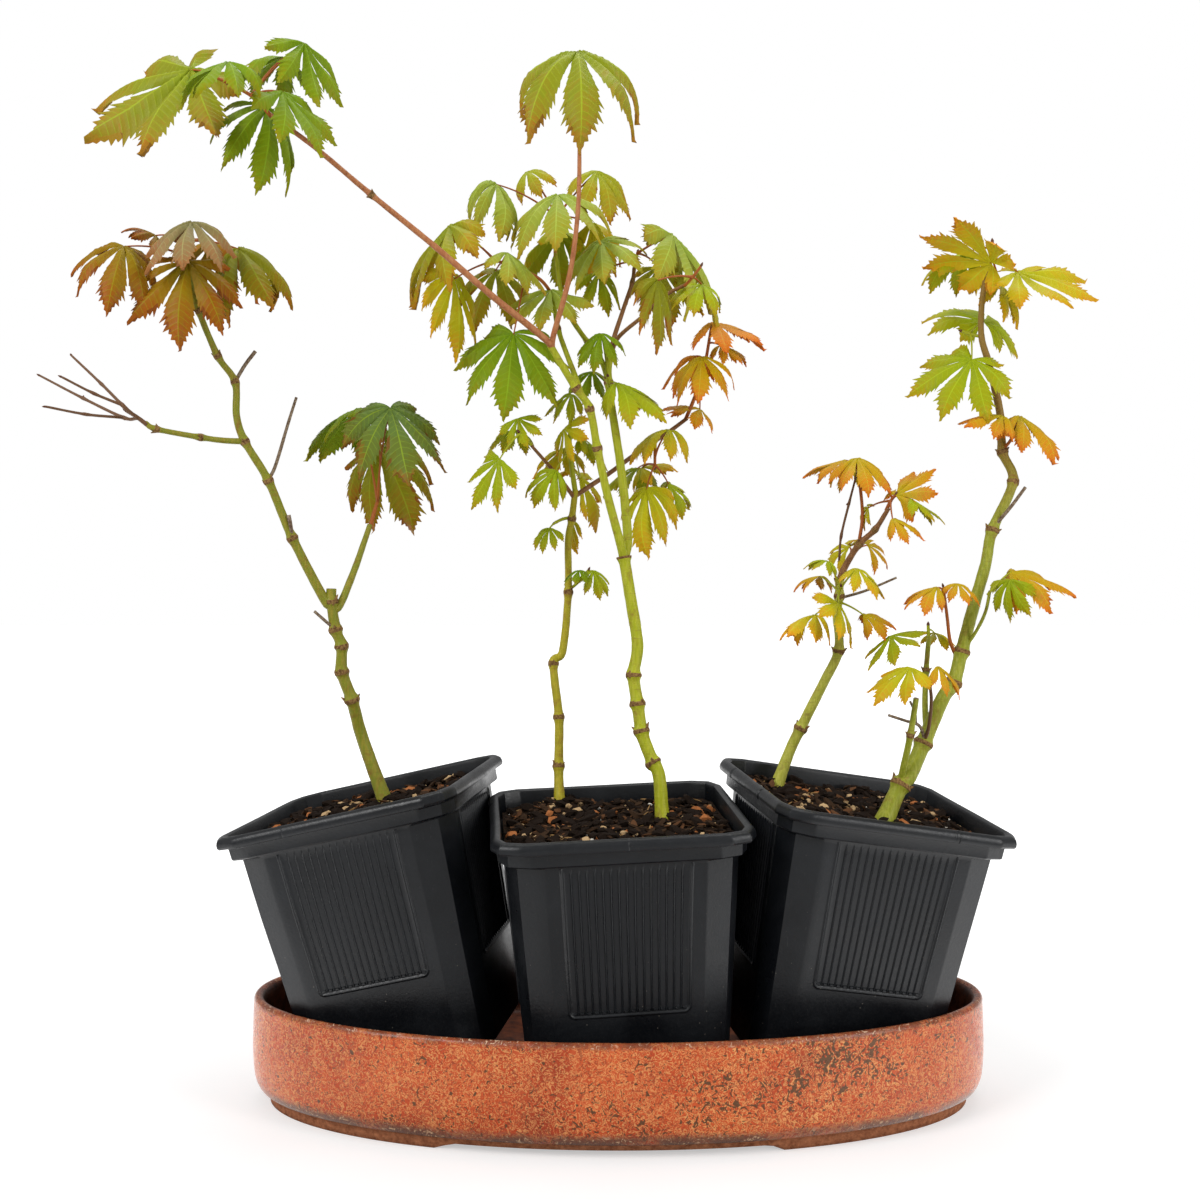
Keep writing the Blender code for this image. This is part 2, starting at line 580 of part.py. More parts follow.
# Trunks and boughs, each from its foot to its tip
LIMBS = {
    # Left tree: a leaning trunk cut off above its fork
    "left_trunk": trunk(
        "left_trunk",
        [(-139, 24, 185), (-144, 19, 207), (-149, 17, 222), (-149, 16, 236), (-152, 15, 245),
         (-154, 14, 260), (-154, 14, 267)],
        (3.7, 2.7), nodes=(2, 3, 4, 5, 6),
        stubs=(([(-152, 15, 245), (-157, 11, 250), (-162, 8, 255)], 0.9, 0.8),)),
    "left_leader": Limb(
        [(-154, 14, 258), (-158, 13, 262), (-173, 5, 294), (-184, -3, 324), (-195, -8, 344),
         (-199, -9, 357), (-200, -8, 375), (-208, -12, 388), (-216, -18, 410), (-221, -21, 429)],
        (2.7, 1.4), nodes=(2, 3, 4, 6, 7, 8), clear_of=("left_trunk",),
        stubs=(([(-184, -3, 324), (-182, 6, 333), (-177, 14, 356), (-173, 16, 370)], 1.0, 0.8),
               ([(-200, -8, 375), (-196, -4, 384), (-191, -1, 392)], 1.0, 1.0),
               ([(-173, 5, 294), (-173, 1, 300), (-174, 0, 306)], 0.9, 1.1))),
    "left_bare_bough": Limb(
        [(-195, -8, 344), (-205, -14, 344), (-215, -20, 345), (-234, -32, 348), (-239, -34, 351)],
        (1.6, 1.3), nodes=(2, 3), clear_of=("left_leader",)),
    "left_right_bough": Limb(
        [(-154, 14, 256), (-150, 16, 258), (-143, 24, 278), (-136, 32, 302)],
        (2.2, 1.5), clear_of=("left_trunk", "left_leader")),

    # Slender tree, at the back of the middle pot
    "slender_trunk": trunk(
        "slender_trunk",
        [(-32, 19, 171), (-32, 23, 197), (-35, 27, 226), (-30, 28, 233), (-27, 29, 265),
         (-27, 28, 293), (-25, 27, 305), (-23, 26, 321)],
        (2.6, 1.7), nodes=(1, 2, 3, 5, 7), bark="green_bark"),
    "slender_left_bough": Limb(
        [(-24, 26, 317), (-30, 19, 325), (-37, 11, 333), (-47, 0, 344)],
        (1.2, 0.8), clear_of=("slender_trunk",), bark="brown_bark"),
    "slender_right_bough": Limb(
        [(-24, 26, 317), (-14, 31, 324), (-4, 36, 331), (12, 41, 343), (27, 44, 353), (39, 46, 362)],
        (1.4, 1.1), nodes=(4,), clear_of=("slender_trunk", "slender_left_bough"), bark="brown_bark"),

    # Tall tree, in the middle pot: a fork of two, a long bough out to the left and a top shoot
    "tall_trunk": trunk(
        "tall_trunk",
        [(21, -17, 170), (18, -15, 177), (15, -14, 184), (12, -12, 193), (10, -10, 207),
         (8, -8, 222), (10, -7, 238), (6, -4, 265), (3, -2, 284)],
        (3.4, 3.0), nodes=(2, 4, 5, 6, 9)),
    "tall_left_fork": Limb(
        [(3, -2, 282), (1, -6, 291), (-6, -11, 317), (-11, -14, 340), (-15, -18, 360),
         (-22, -22, 370), (-35, -28, 391)],
        (2.4, 1.8), nodes=(3, 4, 5), clear_of=("tall_trunk",)),
    "tall_right_fork": Limb(
        [(3, -2, 282), (5, 3, 292), (4, 5, 309), (1, 7, 335), (-5, 10, 377), (-4, 12, 393)],
        (2.6, 1.9), nodes=(4, 5), clear_of=("tall_trunk", "tall_left_fork")),
    "tall_long_bough": Limb(
        [(-34, -27, 390), (-38, -32, 394), (-63, -49, 412), (-89, -60, 433), (-119, -70, 456),
         (-145, -76, 477), (-166, -78, 492)],
        (1.8, 1.1), nodes=(4,), clear_of=("tall_left_fork",), bark="brown_bark"),
    "tall_top_shoot": Limb(
        [(-34, -27, 389), (-33, -31, 396), (-26, -38, 419), (-22, -42, 441), (-20, -42, 468),
         (-20, -36, 508)],
        (1.5, 0.9), clear_of=("tall_left_fork", "tall_long_bough"), bark="brown_bark"),
    "tall_back_bough": Limb(
        [(-15, -18, 360), (-19, -8, 368), (-23, 0, 380), (-32, 11, 406), (-35, 16, 427)],
        (1.7, 1.1), nodes=(3,), clear_of=("tall_left_fork",)),
    "tall_rear_bough": Limb(
        [(-5, 10, 378), (-9, 16, 390), (-16, 22, 400), (-29, 27, 422), (-34, 28, 450)],
        (1.6, 1.1), nodes=(2,), clear_of=("tall_right_fork",)),
    "tall_side_bough": Limb(
        [(-4, 12, 391), (-2, 15, 402), (3, 21, 418), (8, 26, 434), (9, 28, 442)],
        (1.4, 1.0), nodes=(3,), clear_of=("tall_right_fork", "tall_rear_bough"), bark="brown_bark"),
    "tall_low_bough": Limb(
        [(-4, 12, 391), (0, 4, 400), (12, -12, 408), (24, -24, 417), (34, -32, 421)],
        (1.2, 0.9), clear_of=("tall_right_fork", "tall_side_bough"), bark="brown_bark"),

    # Short tree, at the back left of the right pot
    "short_trunk": trunk(
        "short_trunk",
        [(95, 34, 177), (101, 33, 190), (113, 30, 215), (121, 28, 233), (120, 27, 252),
         (121, 26, 263), (121, 26, 273)],
        (3.2, 2.2), nodes=(2, 4, 6, 7),
        stubs=(([(122, 26, 262), (134, 18, 266), (149, 10, 273)], 0.8, 0.6),)),
    "short_bough": Limb(
        [(121, 26, 271), (124, 25, 279), (131, 22, 291), (139, 18, 299), (145, 12, 310)],
        (2.0, 1.2), nodes=(2, 3), clear_of=("short_trunk",), bark="brown_bark"),

    # Stout tree, in the right pot, its leader running up through its leaves
    "stout_trunk": trunk(
        "stout_trunk",
        [(145, -21, 166), (150, -19, 171), (158, -15, 187), (169, -11, 210), (175, -9, 218),
         (180, -6, 234), (187, -2, 257), (194, 0, 280), (198, 2, 298), (210, 6, 324),
         (205, 8, 340), (204, 10, 361), (199, 12, 386), (195, 13, 401), (195, 14, 418),
         (197, 14, 433), (199, 14, 440)],
        (4.4, 1.3), nodes=(1, 3, 5, 6, 9, 10, 11),
        stubs=(([(199, 2, 300), (206, -4, 310), (212, -10, 320)], 1.0, 0.9),)),
    "stout_cut_stem": Limb(
        [(145, -21, 167), (146, -26, 178), (148, -31, 193), (150, -35, 212)],
        (1.9, 1.4), nodes=(2,), clear_of=("stout_trunk",)),
    "stout_rear_stem": Limb(
        [(160, -14, 192), (162, -1, 206), (165, 10, 223), (168, 17, 241)],
        (1.7, 1.3), nodes=(2,), clear_of=("stout_trunk",)),
    "stout_right_shoot": Limb(
        [(181, -4, 235), (186, -10, 244), (190, -15, 255), (191, -20, 266)],
        (1.0, 0.8), clear_of=("stout_trunk",)),
}

# Masses of leaves, and the bare twigs
MASSES = {
    "left_top_leaves": Mass(
        [(-221, -21, 427), (-222, -20, 438), (-222, -14, 448)], (1.3, 0.9), ("left_leader",),
        leaves=(
            Leaf(-218, -34, 436, 262, 66, 44, 0.5), Leaf(-248, -38, 439, 255, 40, 52, 0.9),
            Leaf(-242, -5, 452, 295, 25, 26, 0.9), Leaf(-220, -18, 458, 280, 30, 42, 1.1),
            Leaf(-198, -6, 445, 350, 25, 48, 1.0), Leaf(-216, 12, 452, 85, 15, 44, 1.0)),
        color="copper_leaf"),
    "left_right_leaves": Mass(
        [(-136, 32, 300), (-134, 34, 309), (-132, 35, 316)], (1.4, 0.9), ("left_right_bough",),
        leaves=(
            Leaf(-123, 20, 365, 285, 45, 58, 0.8), Leaf(-130, 46, 348, 345, 55, 60, 0.6),
            Leaf(-144, 54, 368, 140, 15, 48, 0.8))),
    "left_bare_twigs": Mass(
        [(-238, -34, 350), (-243, -36, 354), (-248, -36, 357)], (1.2, 0.9), ("left_bare_bough",),
        twigs=(
            ([(-242, -36, 353), (-248, -41, 359), (-262, -31, 371), (-281, -20, 387)], 0.9, 0.6),
            ([(-248, -41, 359), (-260, -48, 364), (-273, -55, 371)], 0.8, 0.6),
            ([(-242, -36, 353), (-251, -30, 354), (-275, -20, 365), (-301, -10, 378)], 0.9, 0.6),
            ([(-251, -30, 354), (-265, -45, 354), (-279, -60, 356)], 0.8, 0.6)),
        color="brown_bark"),

    "slender_left_leaves": Mass(
        [(-46, 1, 343), (-49, -2, 346), (-52, -4, 349)], (0.9, 0.8), ("slender_left_bough",),
        leaves=(
            Leaf(-53, 0, 357, 285, 30, 26, 0.6), Leaf(-62, -8, 336, 245, 45, 34, 0.4),
            Leaf(-55, 10, 352, 110, 10, 24, 0.7))),
    "slender_hub_leaves": Mass(
        [(-23, 26, 319), (-25, 23, 334), (-26, 20, 350), (-25, 21, 364)], (1.5, 0.9),
        ("slender_trunk", "slender_left_bough", "slender_right_bough"),
        leaves=(
            Leaf(-30, 14, 353, 235, 25, 26), Leaf(-25, 20, 372, 235, 40, 26),
            Leaf(-36, 14, 332, 210, 35, 30), Leaf(-19, 40, 330, 45, 40, 32),
            Leaf(-20, 28, 350, 10, 30, 24), Leaf(-30, 34, 344, 120, 20, 28))),
    "slender_low_leaves": Mass(
        [(-25, 27, 306), (-30, 27, 305), (-34, 25, 303)], (0.9, 0.8), ("slender_trunk",),
        leaves=(Leaf(-38, 21, 300, 240, 35, 20), Leaf(-38, 38, 304, 110, 30, 22))),
    "slender_top_leaves": Mass(
        [(38, 46, 361), (43, 46, 373), (48, 42, 388), (52, 38, 412)], (1.1, 0.8),
        ("slender_right_bough",),
        leaves=(
            Leaf(53, 38, 414, 0, 5, 34), Leaf(45, 30, 396, 250, 55, 32, 0.5),
            Leaf(58, 48, 403, 35, 20, 24), Leaf(48, 54, 368, 40, 20, 26),
            Leaf(44, 52, 398, 130, 25, 30))),
    "slender_middle_leaves": Mass(
        [(21, 42, 348), (21, 43, 341), (21, 44, 335)], (1.0, 0.8), ("slender_right_bough",),
        leaves=(
            Leaf(28, 30, 354, 255, 35, 30), Leaf(16, 34, 322, 265, 65, 42, 0.4),
            Leaf(29, 54, 326, 45, 40, 28), Leaf(14, 52, 335, 330, 5, 26),
            Leaf(12, 58, 336, 120, 15, 30))),
    "slender_shoot_leaves": Mass(
        [(-27, 30, 266), (-21, 28, 271), (-16, 26, 277)], (0.8, 0.7), ("slender_trunk",),
        leaves=(Leaf(-21, 24, 278, 240, 20, 15), Leaf(-13, 26, 277, 330, 55, 19))),

    "tall_long_leaves": Mass(
        [(-165, -78, 491), (-174, -80, 500), (-191, -84, 508)], (1.0, 0.7), ("tall_long_bough",),
        leaves=(
            Leaf(-200, -88, 512, 190, 26, 68, 0.5, -50), Leaf(-151, -74, 530, 310, 50, 44, 0.7),
            Leaf(-163, -58, 526, 140, 0, 34, 0.7), Leaf(-158, -92, 500, 335, 40, 48, 0.5),
            Leaf(-173, -62, 503, 262, 66, 50, 0.5), Leaf(-178, -92, 506, 250, 20, 36, 0.8))),
    "tall_top_leaf": Mass(
        [(-20, -36, 507), (-20, -33, 524), (-21, -28, 538)], (0.9, 0.8), ("tall_top_shoot",),
        leaves=(Leaf(-21, -26, 541, 265, 28, 64, 1.2),)),
    "tall_left_leaves": Mass(
        [(-35, 16, 425), (-42, 8, 432), (-56, 2, 438), (-66, 0, 440)], (1.0, 0.7),
        ("tall_back_bough",),
        leaves=(
            Leaf(-88, 0, 454, 215, 40, 52, 0.8), Leaf(-83, -10, 425, 275, 65, 48, 0.4),
            Leaf(-58, -10, 437, 320, 25, 38, 0.8), Leaf(-36, -8, 418, 250, 45, 28, 0.7),
            Leaf(-57, 0, 400, 255, 75, 48, 0.3), Leaf(-66, 24, 440, 120, 20, 44, 0.9))),
    "tall_crown_leaves": Mass(
        [(-34, 28, 448), (-34, 28, 460), (-33, 27, 471)], (1.0, 0.8), ("tall_rear_bough",),
        leaves=(
            Leaf(-65, 14, 484, 265, 50, 42, 0.9), Leaf(-50, 44, 499, 200, 35, 36, 0.9),
            Leaf(-31, 6, 472, 275, 20, 42, 0.9), Leaf(-9, 32, 496, 310, 40, 48, 0.9),
            Leaf(-14, 44, 470, 40, 30, 36, 0.9), Leaf(-32, 56, 468, 95, 20, 44, 0.9))),
    "tall_side_leaves": Mass(
        [(9, 28, 440), (10, 29, 446), (11, 30, 451)], (0.9, 0.8), ("tall_side_bough",),
        leaves=(
            Leaf(-8, 16, 451, 275, 35, 38, 0.8), Leaf(30, 24, 465, 345, 35, 60, 0.9),
            Leaf(-10, 36, 441, 300, 50, 28, 0.7), Leaf(24, 58, 448, 65, 25, 42, 0.9))),
    "tall_low_leaves": Mass(
        [(33, -32, 420), (37, -35, 424), (41, -37, 429)], (0.8, 0.7), ("tall_low_bough",),
        leaves=(Leaf(28, -44, 430, 275, 75, 46, 0.4), Leaf(50, -40, 428, 330, 40, 26, 0.7))),
    "tall_fork_leaves": Mass(
        [(-4.6, 9.6, 374), (-5, 4, 376), (-5.5, 0, 379)], (0.9, 0.8), ("tall_right_fork",),
        leaves=(
            Leaf(-9, 2, 400, 250, 50, 26, 0.8), Leaf(0, 2, 378, 350, 20, 38, 0.8),
            Leaf(-14, -14, 386, 262, 60, 26, 0.8))),

    "short_top_leaves": Mass(
        [(131, 22, 292), (133, 23, 306), (132, 24, 322), (130, 23, 334)], (1.0, 0.8),
        ("short_bough",),
        leaves=(
            Leaf(130, 22, 338, 280, 25, 32, 0.8), Leaf(126, 26, 338, 175, 5, 26, 0.6),
            Leaf(131, 28, 338, 60, 10, 30, 0.8)),
        twigs=(([(131, 24, 333), (127, 30, 314), (123, 32, 296), (122, 32, 284)], 0.6, 0.7),),
        color="orange_leaf"),
    "short_tip_leaves": Mass(
        [(144, 13, 309), (146, 11, 314), (148, 9, 317)], (1.1, 0.8), ("short_bough",),
        leaves=(
            Leaf(151, 8, 319, 340, -40, 26, 0.3), Leaf(155, 4, 315, 350, 25, 24, 0.4),
            Leaf(146, 22, 320, 90, 10, 20), Leaf(150, -3, 312, 300, 35, 24)),
        color="orange_leaf"),
    "short_back_leaves": Mass(
        [(127, 24, 285), (128, 30, 286), (129, 34, 287)], (0.9, 0.8), ("short_bough",),
        leaves=(Leaf(126, 37, 289, 160, 15, 26), Leaf(138, 36, 291, 30, 10, 26)),
        color="orange_leaf"),
    "short_low_leaves": Mass(
        [(121, 26, 255), (119, 19, 258), (118, 12, 262), (119, 8, 268)], (1.0, 0.7),
        ("short_trunk",),
        leaves=(
            Leaf(106, 14, 254, 215, 25, 26), Leaf(118, 6, 259, 265, 40, 28),
            Leaf(133, 14, 253, 345, 15, 28), Leaf(112, 10, 281, 205, 15, 20),
            Leaf(129, 4, 280, 300, 40, 26), Leaf(110, 18, 274, 120, 0, 20)),
        color="orange_leaf"),

    "stout_top_leaves": Mass(
        [(199, 14, 438), (200, 14, 445), (201, 15, 453)], (1.2, 0.9), ("stout_trunk",),
        leaves=(
            Leaf(197, 5, 444, 185, -18, 46, 0.5, 30), Leaf(213, 6, 445, 335, 10, 54, 0.4, 15),
            Leaf(208, 28, 448, 50, 30, 34, 0.7), Leaf(190, 28, 450, 130, 10, 34, 0.7))),
    "stout_upper_leaves": Mass(
        [(195, 13, 402), (190, 17, 404), (186, 19, 406)], (0.9, 0.8), ("stout_trunk",),
        leaves=(Leaf(192, 32, 413, 100, 15, 40, 0.7), Leaf(184, 6, 396, 245, 65, 44, 0.3))),
    "stout_middle_leaves": Mass(
        [(205, 8, 341), (208, 3, 346), (209, 0, 351)], (0.9, 0.8), ("stout_trunk",),
        leaves=(Leaf(203, -3, 359, 205, 10, 28), Leaf(217, 8, 359, 350, 35, 36, 0.8)),
        color="orange_leaf"),
    "stout_right_leaves": Mass(
        [(190, -19, 264), (193, -21, 268), (196, -22, 271)], (0.8, 0.7), ("stout_right_shoot",),
        leaves=(Leaf(199, -28, 272, 290, 45, 34, 0.5), Leaf(203, -18, 276, 5, 10, 38, 0.6))),
    "stout_left_leaves": Mass(
        [(178, -4, 231), (173, -10, 240), (171, -12, 252), (168, -16, 268)], (1.1, 0.7),
        ("stout_trunk",),
        leaves=(Leaf(162, -24, 268, 210, 20, 27, 0.8), Leaf(175, -18, 270, 320, 40, 19)),
        color="orange_leaf"),
    "stout_brown_leaves": Mass(
        [(158, -15, 187), (159, -23, 196), (159, -29, 210), (157, -33, 221)], (1.1, 0.8),
        ("stout_trunk",),
        leaves=(Leaf(150, -39, 229, 235, 30, 34, 0.6), Leaf(161, -40, 228, 330, 30, 22, 0.7)),
        color="orange_leaf"),
    "stout_rear_leaves": Mass(
        [(168, 17, 239), (168, 18, 243), (168, 19, 247)], (1.1, 0.9), ("stout_rear_stem",),
        leaves=(Leaf(152, 10, 256, 215, 20, 24), Leaf(173, 26, 243, 45, 10, 18))),
}


def centre_whole():
    """Move everything level, so that the middle of the bounding box comes over the origin."""
    bpy.context.view_layer.update()
    corners = [item.matrix_world @ vert.co for item in bpy.data.objects if item.type == "MESH"
               for vert in item.data.vertices]
    low = [min(corner[axis] for corner in corners) for axis in (0, 1)]
    high = [max(corner[axis] for corner in corners) for axis in (0, 1)]
    for item in bpy.data.objects:
        if item.parent is None:
            item.location.x -= (low[0] + high[0]) / 2
            item.location.y -= (low[1] + high[1]) / 2


def main():
    clear_scene()
    build_tray()
    for pot, (middle, turn, tip, lean) in POT_SEATS.items():
        seat = bpy.data.objects.new(f"{pot}_seat", None)
        bpy.context.scene.collection.objects.link(seat)
        seat.rotation_mode = "ZXY"
        seat.location = Vector(middle) * MM
        seat.rotation_euler = [math.radians(angle) for angle in (tip, lean, turn)]
        mounds = [foot for home, foot in FEET.values() if home == pot]
        build_pot(f"{pot}_pot", seat)
        build_soil(f"{pot}_soil", seat, mounds)
    taken = []
    for name, limb in LIMBS.items():
        item = limb.build(name, LIMBS)
        taken.append(surface_of(item.data))
    for name, mass in MASSES.items():
        item = mass.build(name, LIMBS, taken)
        taken.append(surface_of(item.data))
    centre_whole()


main()
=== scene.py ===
"""The looks of a forest bonsai: five young Japanese maples in three square nursery pots that
lean together in one oval glazed tray.

Metres, +Z up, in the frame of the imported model. Points of limbs and leaves are written in
millimetres from the middle of the tray's footprint, at the level it stands on.
"""
import math
import random

import bpy
import numpy as np
from mathutils import Euler, Matrix, Vector, noise


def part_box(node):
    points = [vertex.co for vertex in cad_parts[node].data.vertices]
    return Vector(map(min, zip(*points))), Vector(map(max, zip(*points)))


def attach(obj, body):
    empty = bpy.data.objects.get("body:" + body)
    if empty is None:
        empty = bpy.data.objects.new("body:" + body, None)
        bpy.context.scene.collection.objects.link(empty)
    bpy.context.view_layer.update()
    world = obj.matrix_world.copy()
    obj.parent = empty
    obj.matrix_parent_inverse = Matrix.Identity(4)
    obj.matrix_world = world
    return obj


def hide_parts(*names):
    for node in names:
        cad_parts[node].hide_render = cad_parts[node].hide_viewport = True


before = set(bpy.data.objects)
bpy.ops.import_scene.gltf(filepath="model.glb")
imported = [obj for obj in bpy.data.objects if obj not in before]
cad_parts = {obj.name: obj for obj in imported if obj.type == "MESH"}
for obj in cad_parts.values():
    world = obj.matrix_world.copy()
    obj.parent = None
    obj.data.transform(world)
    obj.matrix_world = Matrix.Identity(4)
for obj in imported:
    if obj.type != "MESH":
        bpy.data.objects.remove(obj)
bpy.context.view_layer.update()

MM = 0.001
TRAY_LOW, TRAY_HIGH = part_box("tray")
MIDDLE = Vector(((TRAY_LOW.x + TRAY_HIGH.x) / 2, (TRAY_LOW.y + TRAY_HIGH.y) / 2, 0.0))
SEED = 11

# Camera, set where the photograph was taken from
LENS = 44.0
SENSOR = 36.0
CAMERA_AT = Vector((-0.0096, -0.7746, 0.2713))
CAMERA_DIP = 0.75             # degrees below level

# Oval tray, as in the model
TRAY_HALF_LENGTH = (TRAY_HIGH.x - TRAY_LOW.x) / 2
TRAY_HALF_WIDTH = (TRAY_HIGH.y - TRAY_LOW.y) / 2
TRAY_HEIGHT = TRAY_HIGH.z
TRAY_FLOOR = 0.018
TRAY_SEGMENTS = 192
TRAY_UNEVEN = 0.00025
FOOT_HEIGHT = 0.0060
FOOT_GAP_MIDDLE = -0.005
FOOT_GAP_HALF_LENGTH = 0.081
FOOT_GAP_SLOPE = 0.004
FOOT_GAP_HEIGHT = 0.0030

# Square nursery pot, measured from the middle of its rim down
POT_HALF_RIM = 0.0637
POT_HALF_COLLAR = 0.0599
POT_HALF_BODY = 0.0571
POT_HALF_BASE = 0.0491
POT_HEIGHT = 0.1315
POT_WALL = 0.0015
LIP_HEIGHT = 0.0060
COLLAR_HEIGHT = 0.0130
SHARP_ANGLE = 32              # degrees from which an edge of a pot is shaded sharp
PANEL_HALF_WIDTH = 0.0308
PANEL_TOP = -0.0148           # the ribbed panel on each side of a pot, from its rim down
PANEL_BOTTOM = -0.0890
PANEL_TAPER = 0.045           # how much wider it is at its top than at its middle
PANEL_CORNER = 0.0040
PANEL_OUTLINE = 0.0008
OUTLINE_HEIGHT = 0.0007
RIBS = 16
RIB_HEIGHT = 0.0008
RIB_SHARE = 0.17              # half of a rib's width, as a share of the step to the next
NICKS = 9
NICK_HALF_WIDTH = 0.0009
NICK_DEPTH = 0.0006

# Seats of the pots: middle of the rim in millimetres, then turn, tip and lean in degrees
POT_SEATS = {
    "left": ((-133.8, -0.5, 158.7), -9.1, -0.1, -13.4),
    "middle": ((-2.2, -28.5, 154.7), 4.5, 4.1, -1.9),
    "right": ((127.8, -6.1, 158.9), 11.6, 3.2, 9.9),
}

# Soil
SOIL_DEPTH = 0.0080
SOIL_CORNER = 0.0135
SOIL_AROUND = 160             # points in each ring of the fill
SOIL_RINGS = 44
CHIPS_PER_POT = 1500

# Stems
TRUNK_SIDES = 18
BOUGH_SIDES = 12
STEM_SIDES = 8
STUB_SIDES = 9
THIN_SIDES = 7
RING_SPACING = 0.0013
PATH_STEPS = 24
NODE_SWELL = 0.38             # how much wider a node is than the stem
NODE_HALF_LENGTH = 0.0023
ROOT_FLARE = 0.22
ROOT_FLARE_LENGTH = 0.007
FOOT_SINK = 0.0010            # how far a trunk goes down into the soil
BARK_RELIEF = 0.035           # as a share of the radius
PETIOLE_RADIUS = 0.00062
SCAR_EDGE = 0.64              # how swollen a stem is where a scar begins
SCAR_UNEVEN = 0.16
BUD_LENGTH = 0.0016           # and one radius of its twig
BUD_PROFILE = ((0.0, 0.75), (0.25, 1.05), (0.6, 0.8), (1.0, 0.1))

# Leaves
LOBES = ((0.0, 1.0), (38.0, 0.93), (78.0, 0.72), (122.0, 0.42))   # angle, share of the length
BROAD_LEAF = 0.040            # from this length on a leaf has hind lobes
OUTER_LIMIT = 26.0            # degrees that the outermost lobes have to their free side
LOBE_HALF_WIDTH = 0.156
LOBE_PLACES = (0.0, 0.18, 0.28, 0.40, 0.54, 0.66, 0.78, 0.88, 0.95, 1.0)
LOBE_WIDTHS = (0.26, 0.38, 0.57, 0.84, 1.0, 0.88, 0.57, 0.27, 0.10, 0.0)
TOOTH_STEP = 0.0068           # the longer the leaf, the more teeth: one for each such length
BIG_TOOTH = 0.27              # how far teeth stand out, as a share of the lobe's half-width
SMALL_TOOTH = 0.07
TOOTH_NOTCH = 0.10
VEIN_SHARE = 0.10             # half of a side vein's width, as a share of the step to a notch
BLISTER = 0.005               # how far the blade rises at teeth and sinks between them
RIPPLE = 0.012                # and how far it ripples along a lobe, as shares of the length
EDGE_WAVE = 0.020
VEIN_SLANT = 0.45             # how far side veins run towards the tip for each step outwards
SIDE_DROOP = 1.2              # how far the side lobes hang down past the curl, in radians at most
STEEPEST = -1.35
COLUMNS = (-1.0, -0.72, -0.38, -0.045, 0.045, 0.38, 0.72, 1.0)
TINT_STEPS = 7


# Nodes of a material, in short

class Shade:
    """One material, with a Principled shader and small helpers to wire up its nodes."""

    def __init__(self, name, color, roughness, specular=0.5):
        self.material = bpy.data.materials.new(name)
        self.material.use_nodes = True
        self.tree = self.material.node_tree
        self.shader = self.tree.nodes["Principled BSDF"]
        self.set("Base Color", (*color, 1.0))
        self.set("Roughness", roughness)
        self.set("Specular IOR Level", specular)
        self.coordinates = self.tree.nodes.new("ShaderNodeTexCoord").outputs["Object"]

    def set(self, socket, value):
        self.shader.inputs[socket].default_value = value

    def feed(self, socket, source):
        self.tree.links.new(source, self.shader.inputs[socket])

    def node(self, kind, inputs, output=0, **settings):
        """An output of a new node, whose inputs are links, numbers or colours."""
        node = self.tree.nodes.new("ShaderNode" + kind)
        for key, value in settings.items():
            setattr(node, key, value)
        for socket, value in inputs.items():
            if isinstance(value, bpy.types.NodeSocket):
                self.tree.links.new(value, node.inputs[socket])
            else:
                node.inputs[socket].default_value = value
        return node.outputs[output]

    def axis(self, name):
        """One of the coordinates."""
        return self.node("SeparateXYZ", {"Vector": self.coordinates}, name)

    def noise(self, scale, detail=3.0, roughness=0.55, distortion=0.0, stretch=None):
        vector = self.coordinates
        if stretch:
            vector = self.node("Mapping", {"Vector": vector, "Scale": stretch})
        return self.node("TexNoise", {"Vector": vector, "Scale": scale, "Detail": detail,
                                      "Roughness": roughness, "Distortion": distortion}, "Fac")

    def cells(self, scale):
        return self.node("TexVoronoi", {"Vector": self.coordinates, "Scale": scale}, "Distance")

    def ramp(self, value, *stops):
        """A colour or grey ramp: stops are (place, grey or colour)."""
        output = self.node("ValToRGB", {"Fac": value}, "Color")
        elements = output.node.color_ramp.elements
        while len(elements) < len(stops):
            elements.new(0.5)
        for element, (place, color) in zip(elements, stops):
            element.position = place
            element.color = (*color, 1.0) if isinstance(color, tuple) else (color, color, color, 1.0)
        return output

    def paint(self, mask, color):
        """Lay a colour over the base colour, as far as the mask says."""
        target = self.shader.inputs["Base Color"]
        under = target.links[0].from_socket if target.is_linked else tuple(target.default_value)
        inputs = {0: mask, 6: under, 7: (*color, 1.0)}
        self.feed("Base Color", self.node("Mix", inputs, 2, data_type="RGBA"))

    def math(self, operation, a, b=0.0, clamp=False):
        return self.node("Math", {0: a, 1: b}, operation=operation, use_clamp=clamp)

    def times(self, a, b):
        return self.math("MULTIPLY", a, b)

    def plus(self, a, b):
        return self.math("ADD", a, b)

    def away(self, a, b):
        """How far one value is from another."""
        return self.math("ABSOLUTE", self.math("SUBTRACT", a, b))

    def span(self, value, low, high, to_low=0.0, to_high=1.0):
        return self.node("MapRange", {"Value": value, "From Min": low, "From Max": high,
                                      "To Min": to_low, "To Max": to_high}, "Result")

    def bump(self, height, distance):
        """Add a bump to the shader, over any that is there."""
        inputs = {"Height": height, "Distance": distance, "Strength": 1.0}
        target = self.shader.inputs["Normal"]
        if target.is_linked:
            inputs["Normal"] = target.links[0].from_socket
        self.feed("Normal", self.node("Bump", inputs))


def plain_finish(name, color, roughness, scale, bump, specular=0.2):
    """A plain colour with a fine noisy bump and a slightly uneven gloss."""
    shade = Shade(name, color, roughness, specular)
    fine = shade.noise(scale, 2.0)
    shade.bump(fine, bump)
    shade.feed("Roughness", shade.ramp(fine, (0.3, roughness - 0.06), (0.7, roughness + 0.06)))
    return shade.material


